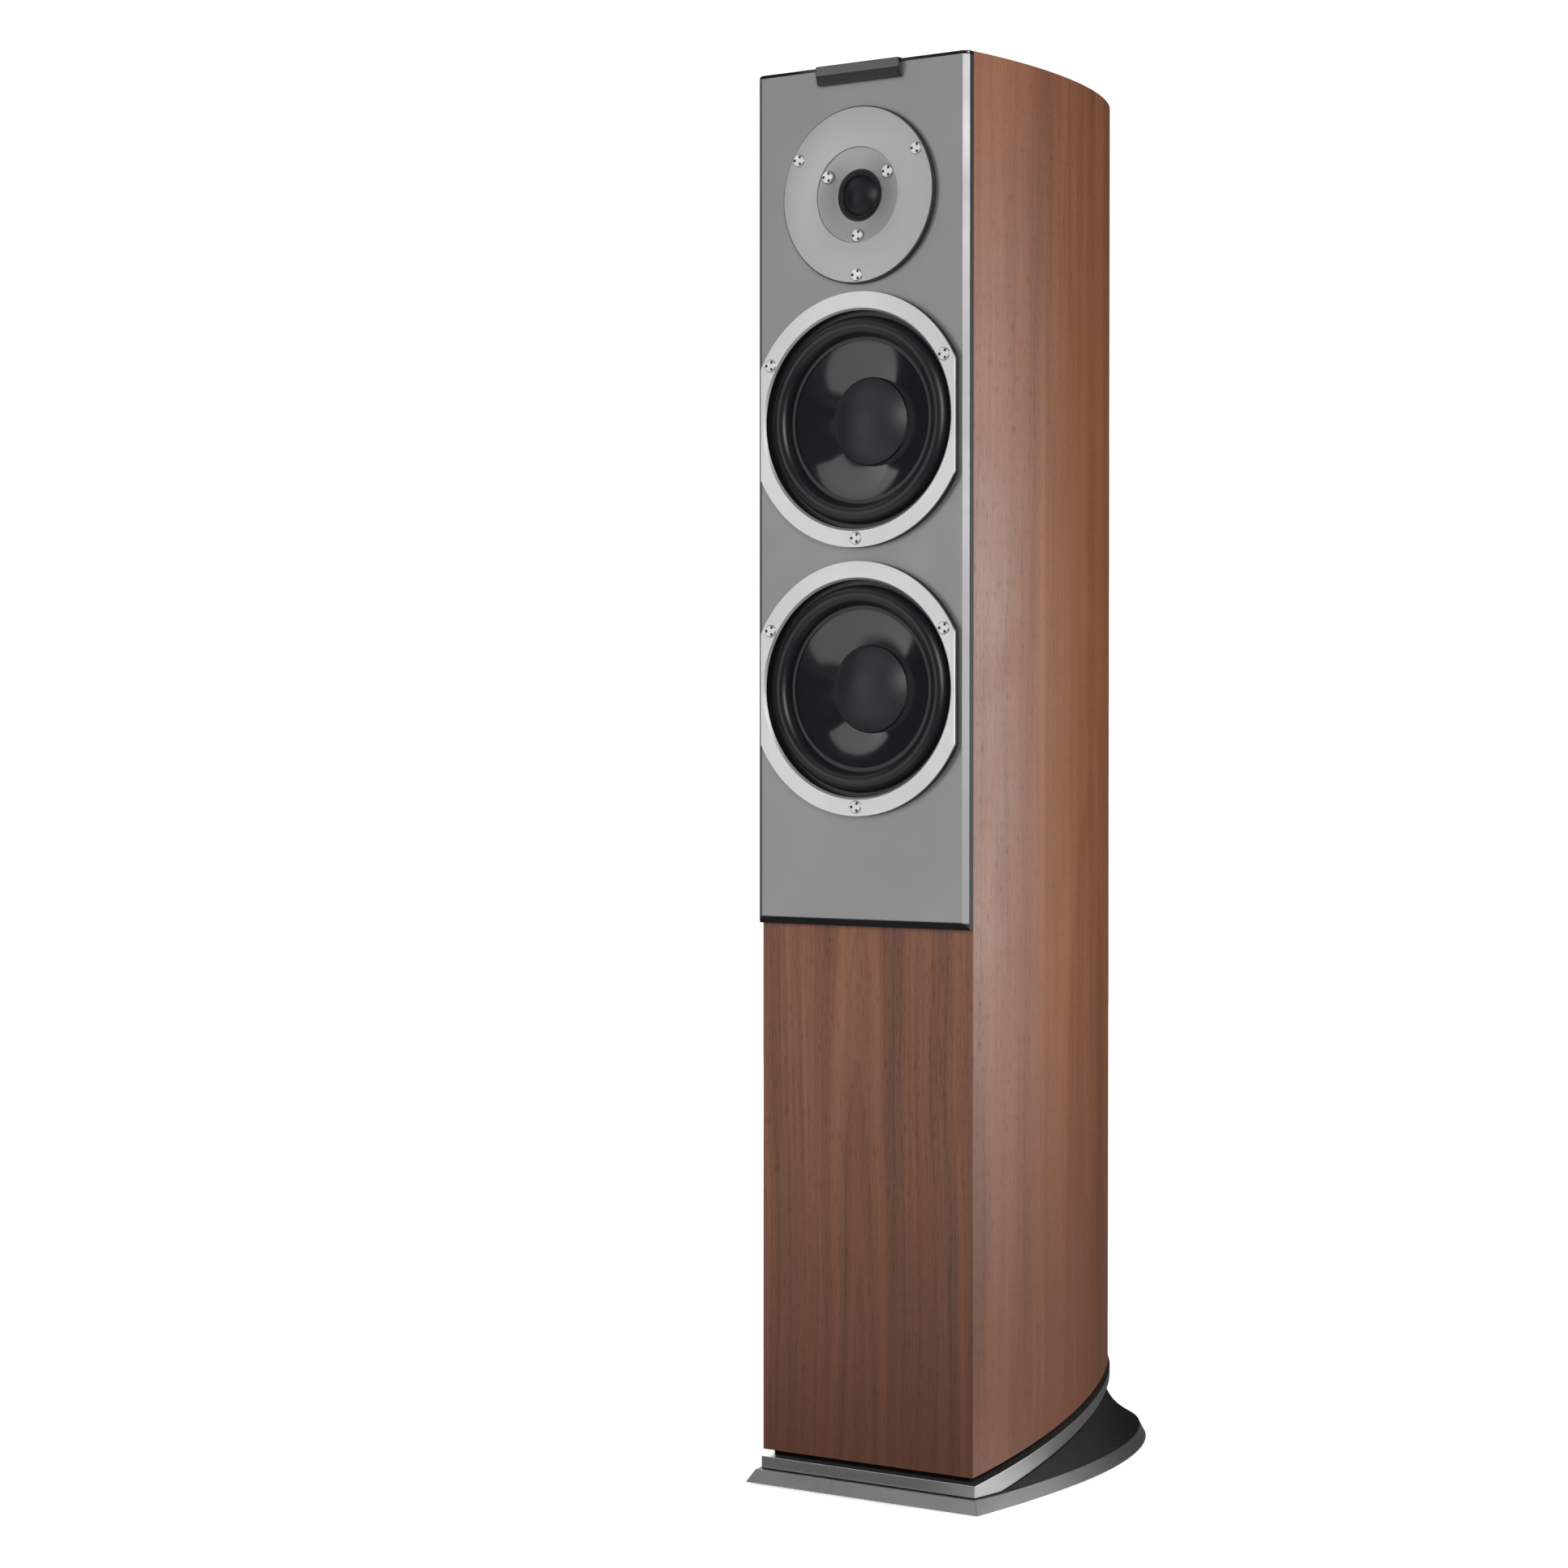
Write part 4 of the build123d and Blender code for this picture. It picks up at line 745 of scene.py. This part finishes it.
def softened(name, node, width, finish, body="cabinet_body"):
    """Copy of a CAD mesh, merged, with its facets joined and every sharp edge rounded to a width."""
    work = bmesh.new()
    work.from_mesh(nodes[node].data)
    bmesh.ops.remove_doubles(work, verts=work.verts, dist=MERGE * 20)
    bmesh.ops.dissolve_limit(work, angle_limit=FACET_LIMIT, verts=work.verts, edges=work.edges)
    mesh = bpy.data.meshes.new(name)
    work.to_mesh(mesh)
    work.free()
    mesh.polygons.foreach_set("use_smooth", np.ones(len(mesh.polygons), bool))
    mesh.set_sharp_from_angle(angle=EDGE_LIMIT)
    piece = bpy.data.objects.new(name, mesh)
    bpy.context.scene.collection.objects.link(piece)
    rounding = piece.modifiers.new("Rounded edges", "BEVEL")
    rounding.width = width
    rounding.segments = 3
    rounding.limit_method = "ANGLE"
    rounding.angle_limit = EDGE_LIMIT
    rounding.harden_normals = True
    return finish_piece(piece, finish, body, node)


softened("front_plate", "baffle_plate", 0.5 * MM, plate_grey)
softened("trim_strip", "top_trim", 0.8 * MM, gloss_black)
softened("plinth_band", "plinth_upper_plate", 0.7 * MM, plinth_silver)
softened("plinth_foot_plate", "plinth_base_plate", 0.9 * MM, plinth_silver)
softened("plinth_moulding", "plinth_core", 0.6 * MM, textured_black)
softened("connection_plate", "terminal_plate", 0.6 * MM, matt_black)
softened("port_flare", "port_tube", 0.6 * MM, matt_black)
for colour, gloss in (("red", red_gloss), ("black", gloss_black)):
    softened(f"{colour}_knob", f"{colour}_terminal_knob", 0.3 * MM, gloss, f"{colour}_knob_body")

# %% [markdown]
# ## Screw drives
# Every screw head has three small round holes for a pronged key. The CAD heads hold the holes; a
# tiny dark disc just above the bottom of each one stands for the depth that light doesn't reach.

# %% Dark bottoms of the key holes
SCREW_ANGLES = np.radians([30.0, 150.0, 270.0])
HEAD_T, HOLE_PCR, HOLE_R = 1.1 * MM, 2.9 * MM, 1.09 * MM
HEAD_R = 4.6 * MM
WOOFER_SCREW_PCR, FACE_SCREW_PCR, DISH_SCREW_PCR = 84.5 * MM, 57.0 * MM, 29.0 * MM
HOLE_RINGS, HOLE_SPOKES = 3, 12


def key_holes(name, rings):
    """Discs as polar grids: driver centre, plus the screw's circle, plus the hole's circle, plus the disc."""
    reach = np.linspace(0, HOLE_R, HOLE_RINGS)
    round_ = np.arange(HOLE_SPOKES) / HOLE_SPOKES * tau
    for part, (height, pitch_r, level) in enumerate(rings):
        screw_x = pitch_r * np.cos(SCREW_ANGLES)[:, None, None, None]
        screw_z = height + pitch_r * np.sin(SCREW_ANGLES)[:, None, None, None]
        hole_angle = SCREW_ANGLES[None, :, None, None] + pi / 6
        x = screw_x + HOLE_PCR * np.cos(hole_angle) + reach[:, None] * np.cos(round_)
        z = screw_z + HOLE_PCR * np.sin(hole_angle) + reach[:, None] * np.sin(round_)
        grid = np.stack([x, np.full_like(x, PLATE_Y - level), z], -1).reshape(-1, HOLE_RINGS, HOLE_SPOKES, 3)
        for spot, disc in enumerate(grid):
            yield surface(f"{name}_{part}_{spot}", disc, wrap_rows=False)


def merged(name, parts):
    """Several surfaces as one piece."""
    work = bmesh.new()
    for part in parts:
        work.from_mesh(part.data)
        bpy.data.objects.remove(part)
    flip = [face for face in work.faces if face.normal.y > 0]
    bmesh.ops.reverse_faces(work, faces=flip)
    mesh = bpy.data.meshes.new(name)
    work.to_mesh(mesh)
    work.free()
    piece = bpy.data.objects.new(name, mesh)
    bpy.context.scene.collection.objects.link(piece)
    return piece


WOOFER_HEAD = RING_T + HEAD_T
dish_share = (DISH_SCREW_PCR + HEAD_R - THROAT_R) / (DISH_R - THROAT_R)
DISH_HEAD = DISH_THROAT + (DISH_EDGE - DISH_THROAT) * dish_share + HEAD_T
SINK = 0.55 * MM
screw_rings = [(LOW_Z, WOOFER_SCREW_PCR, WOOFER_HEAD - SINK), (HIGH_Z, WOOFER_SCREW_PCR, WOOFER_HEAD - SINK),
               (TWEETER_Z, FACE_SCREW_PCR, BODY_T + FACE_T + HEAD_T - SINK),
               (TWEETER_Z, DISH_SCREW_PCR, DISH_HEAD - SINK)]
dots = merged("screw_key_holes", key_holes("hole", screw_rings))
dots.data.materials.append(matt_black)
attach(dots, "cabinet_body")
print("key holes", len(dots.data.polygons), "faces")

# %% [markdown]
# ## Camera, light and floor
# The object stands to the right of the lens axis, as on a stand in a showroom beside its twin. The
# camera is level to within a degree and has a longish lens. A pale round floor that curves up at its
# rim and five softboxes give the even light of a catalogue picture: a strong key at the right front,
# a fill at the left front, one beside the bowed wall, a long one high on the left and one behind.

# %% Camera
TURN, DIP = 33.667, 0.972
FOCAL = 77.34
camera_data = bpy.data.cameras.new("Camera")
camera_data.lens = FOCAL
camera_data.sensor_width = 36.0
camera_data.clip_end = 50.0
camera = bpy.data.objects.new("Camera", camera_data)
camera.location = (1.29148, FRONT_Y - 2.04542, 0.53048 + SKIRT_Z)
camera.rotation_euler = (radians(90 - DIP), 0, radians(TURN))
bpy.context.scene.collection.objects.link(camera)
bpy.context.scene.camera = camera
print("camera at", [round(value, 3) for value in camera.location])

# %% Floor and backdrop
FLAT_R, RIM_R, CLIMB = 5.0, 9.0, 0.45
BOWL_RINGS, BOWL_SPOKES = 25, 96


def bowl(name):
    """Round floor: flat out to one radius, then rising with the square of the distance past it."""
    reach = np.concatenate([[0.0], np.linspace(FLAT_R, RIM_R, BOWL_RINGS - 1)])[:, None]
    angle = np.arange(BOWL_SPOKES) / BOWL_SPOKES * tau
    rise = np.broadcast_to(CLIMB * np.maximum(reach - FLAT_R, 0) ** 2, (BOWL_RINGS, BOWL_SPOKES))
    grid = np.stack([reach * np.cos(angle), reach * np.sin(angle), rise], -1)
    return surface(name, grid, wrap_rows=False)


floor = bowl("floor")
pale, tree, shader, place = blank("Pale floor", Roughness=0.85, Specular_IOR_Level=0.1)
shade = noise(tree, place, 3.0, 3.0)
rays = add(tree, "ShaderNodeLightPath").outputs
spot_x, spot_y, _ = split(tree, place)
paper = blend_colour(tree, shade, (0.86, 0.86, 0.86, 1), (0.90, 0.90, 0.90, 1))
# Painted reflection: the floor is white to the camera, bounces light at 0.40 of that, and shows in reflections
# at only 0.15, so glossy parts mirror a dark floor.
painted_dim_off_camera = calc(tree, "MULTIPLY_ADD", rays["Is Glossy Ray"], -0.25, 0.40)
paper_level = calc(tree, "MAXIMUM", rays["Is Camera Ray"], painted_dim_off_camera)
plug(tree, dimmed(tree, paper, paper_level), shader.inputs["Base Color"])


def patch_of(low_x, high_x, low_y, high_y, soft, level):
    """Soft-edged rectangle on the floor, a mask for painted light that shows only in reflections."""
    x_in = spread(tree, spot_x, low_x - soft, low_x + soft)
    x_out = spread(tree, spot_x, high_x - soft, high_x + soft, 1.0, 0.0)
    y_in = spread(tree, spot_y, low_y - soft, low_y + soft)
    y_out = spread(tree, spot_y, high_y - soft, high_y + soft, level, 0.0)
    return calc(tree, "MULTIPLY", calc(tree, "MULTIPLY", x_in, x_out), calc(tree, "MULTIPLY", y_in, y_out))


# Painted reflections: these patches glow only in glossy rays, so the plinth band and the cones mirror light
# that no lamp gives.
beside = patch_of(0.09, 0.45, -0.34, -0.03, 0.07, 1.35)
ahead = patch_of(-2.0, 0.25, -2.0, -0.62, 0.10, 1.15)
lit = calc(tree, "ADD", beside, ahead)
far = calc(tree, "SQRT", calc(tree, "MULTIPLY_ADD", spot_x, spot_x, calc(tree, "MULTIPLY", spot_y, spot_y)))
# Painted shade: seen by the camera the floor glows at 0.76 within 0.5 m of the object and at full white from 3
# m, so a dim patch stays round the object.
glow_with_painted_shade = spread(tree, far, 0.5, 3.0, 0.76, 1.0)
painted_reflection_glow = calc(tree, "MULTIPLY", rays["Is Glossy Ray"], lit)
glow = calc(tree, "MULTIPLY_ADD", rays["Is Camera Ray"], glow_with_painted_shade, painted_reflection_glow)
plug(tree, (1, 1, 1, 1), shader.inputs["Emission Color"])
plug(tree, glow, shader.inputs["Emission Strength"])
floor.data.materials.append(pale)
floor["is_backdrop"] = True


# %% Softboxes
def softbox(name, place, aim, size, power):
    """Rectangular light at a place, turned to face an aim point."""
    data = bpy.data.lights.new(name, "AREA")
    data.shape = "RECTANGLE"
    data.size, data.size_y = size
    data.energy = power
    lamp = bpy.data.objects.new(name, data)
    lamp.location = place
    direction = np.array(aim) - np.array(place)
    yaw = np.arctan2(direction[1], direction[0])
    pitch = np.arctan2(direction[2], np.hypot(direction[0], direction[1]))
    lamp.rotation_euler = (pi / 2 + pitch, 0, yaw - pi / 2)
    bpy.context.scene.collection.objects.link(lamp)
    return lamp


softbox("left front box", (-1.6, -2.9, 0.9), (0, 0, 0.6), (1.3, 1.9), 20)
softbox("right front key", (2.1, -2.9, 1.5), (0, 0, 0.6), (1.0, 1.6), 76)
softbox("right side box", (2.4, 1.6, 0.6), (0, 0, 0.6), (1.1, 1.2), 44)
softbox("high left box", (-1.0, -1.6, 2.3), (0, -0.17, 0.68), (2.6, 0.8), 8.0)
softbox("left rear fill", (-2.3, 1.7, 1.1), (0, 0, 0.6), (1.4, 1.8), 34)
world = bpy.data.worlds.new("Studio")
world.use_nodes = True
sky = world.node_tree
plug(sky, (1, 1, 1, 1), sky.nodes["Background"].inputs["Color"])
seen = add(sky, "ShaderNodeLightPath").outputs["Is Camera Ray"]
facing = split(sky, add(sky, "ShaderNodeTexCoord").outputs["Generated"])
fill_by_front = spread(sky, facing["Y"], -0.3, 0.7, 0.12, 0.015)
fill_by_left = spread(sky, facing["X"], -0.55, -0.9, 0.0, 0.45)
fill = calc(sky, "ADD", fill_by_front, fill_by_left)
plug(sky, calc(sky, "MAXIMUM", seen, fill), sky.nodes["Background"].inputs["Strength"])
bpy.context.scene.world = world
bpy.context.scene.view_settings.view_transform = "Standard"

# %% Size of the visual model beside the CAD box
visual_box = [list(corner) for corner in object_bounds()]
print("visual box", [[round(value, 4) for value in corner] for corner in visual_box])
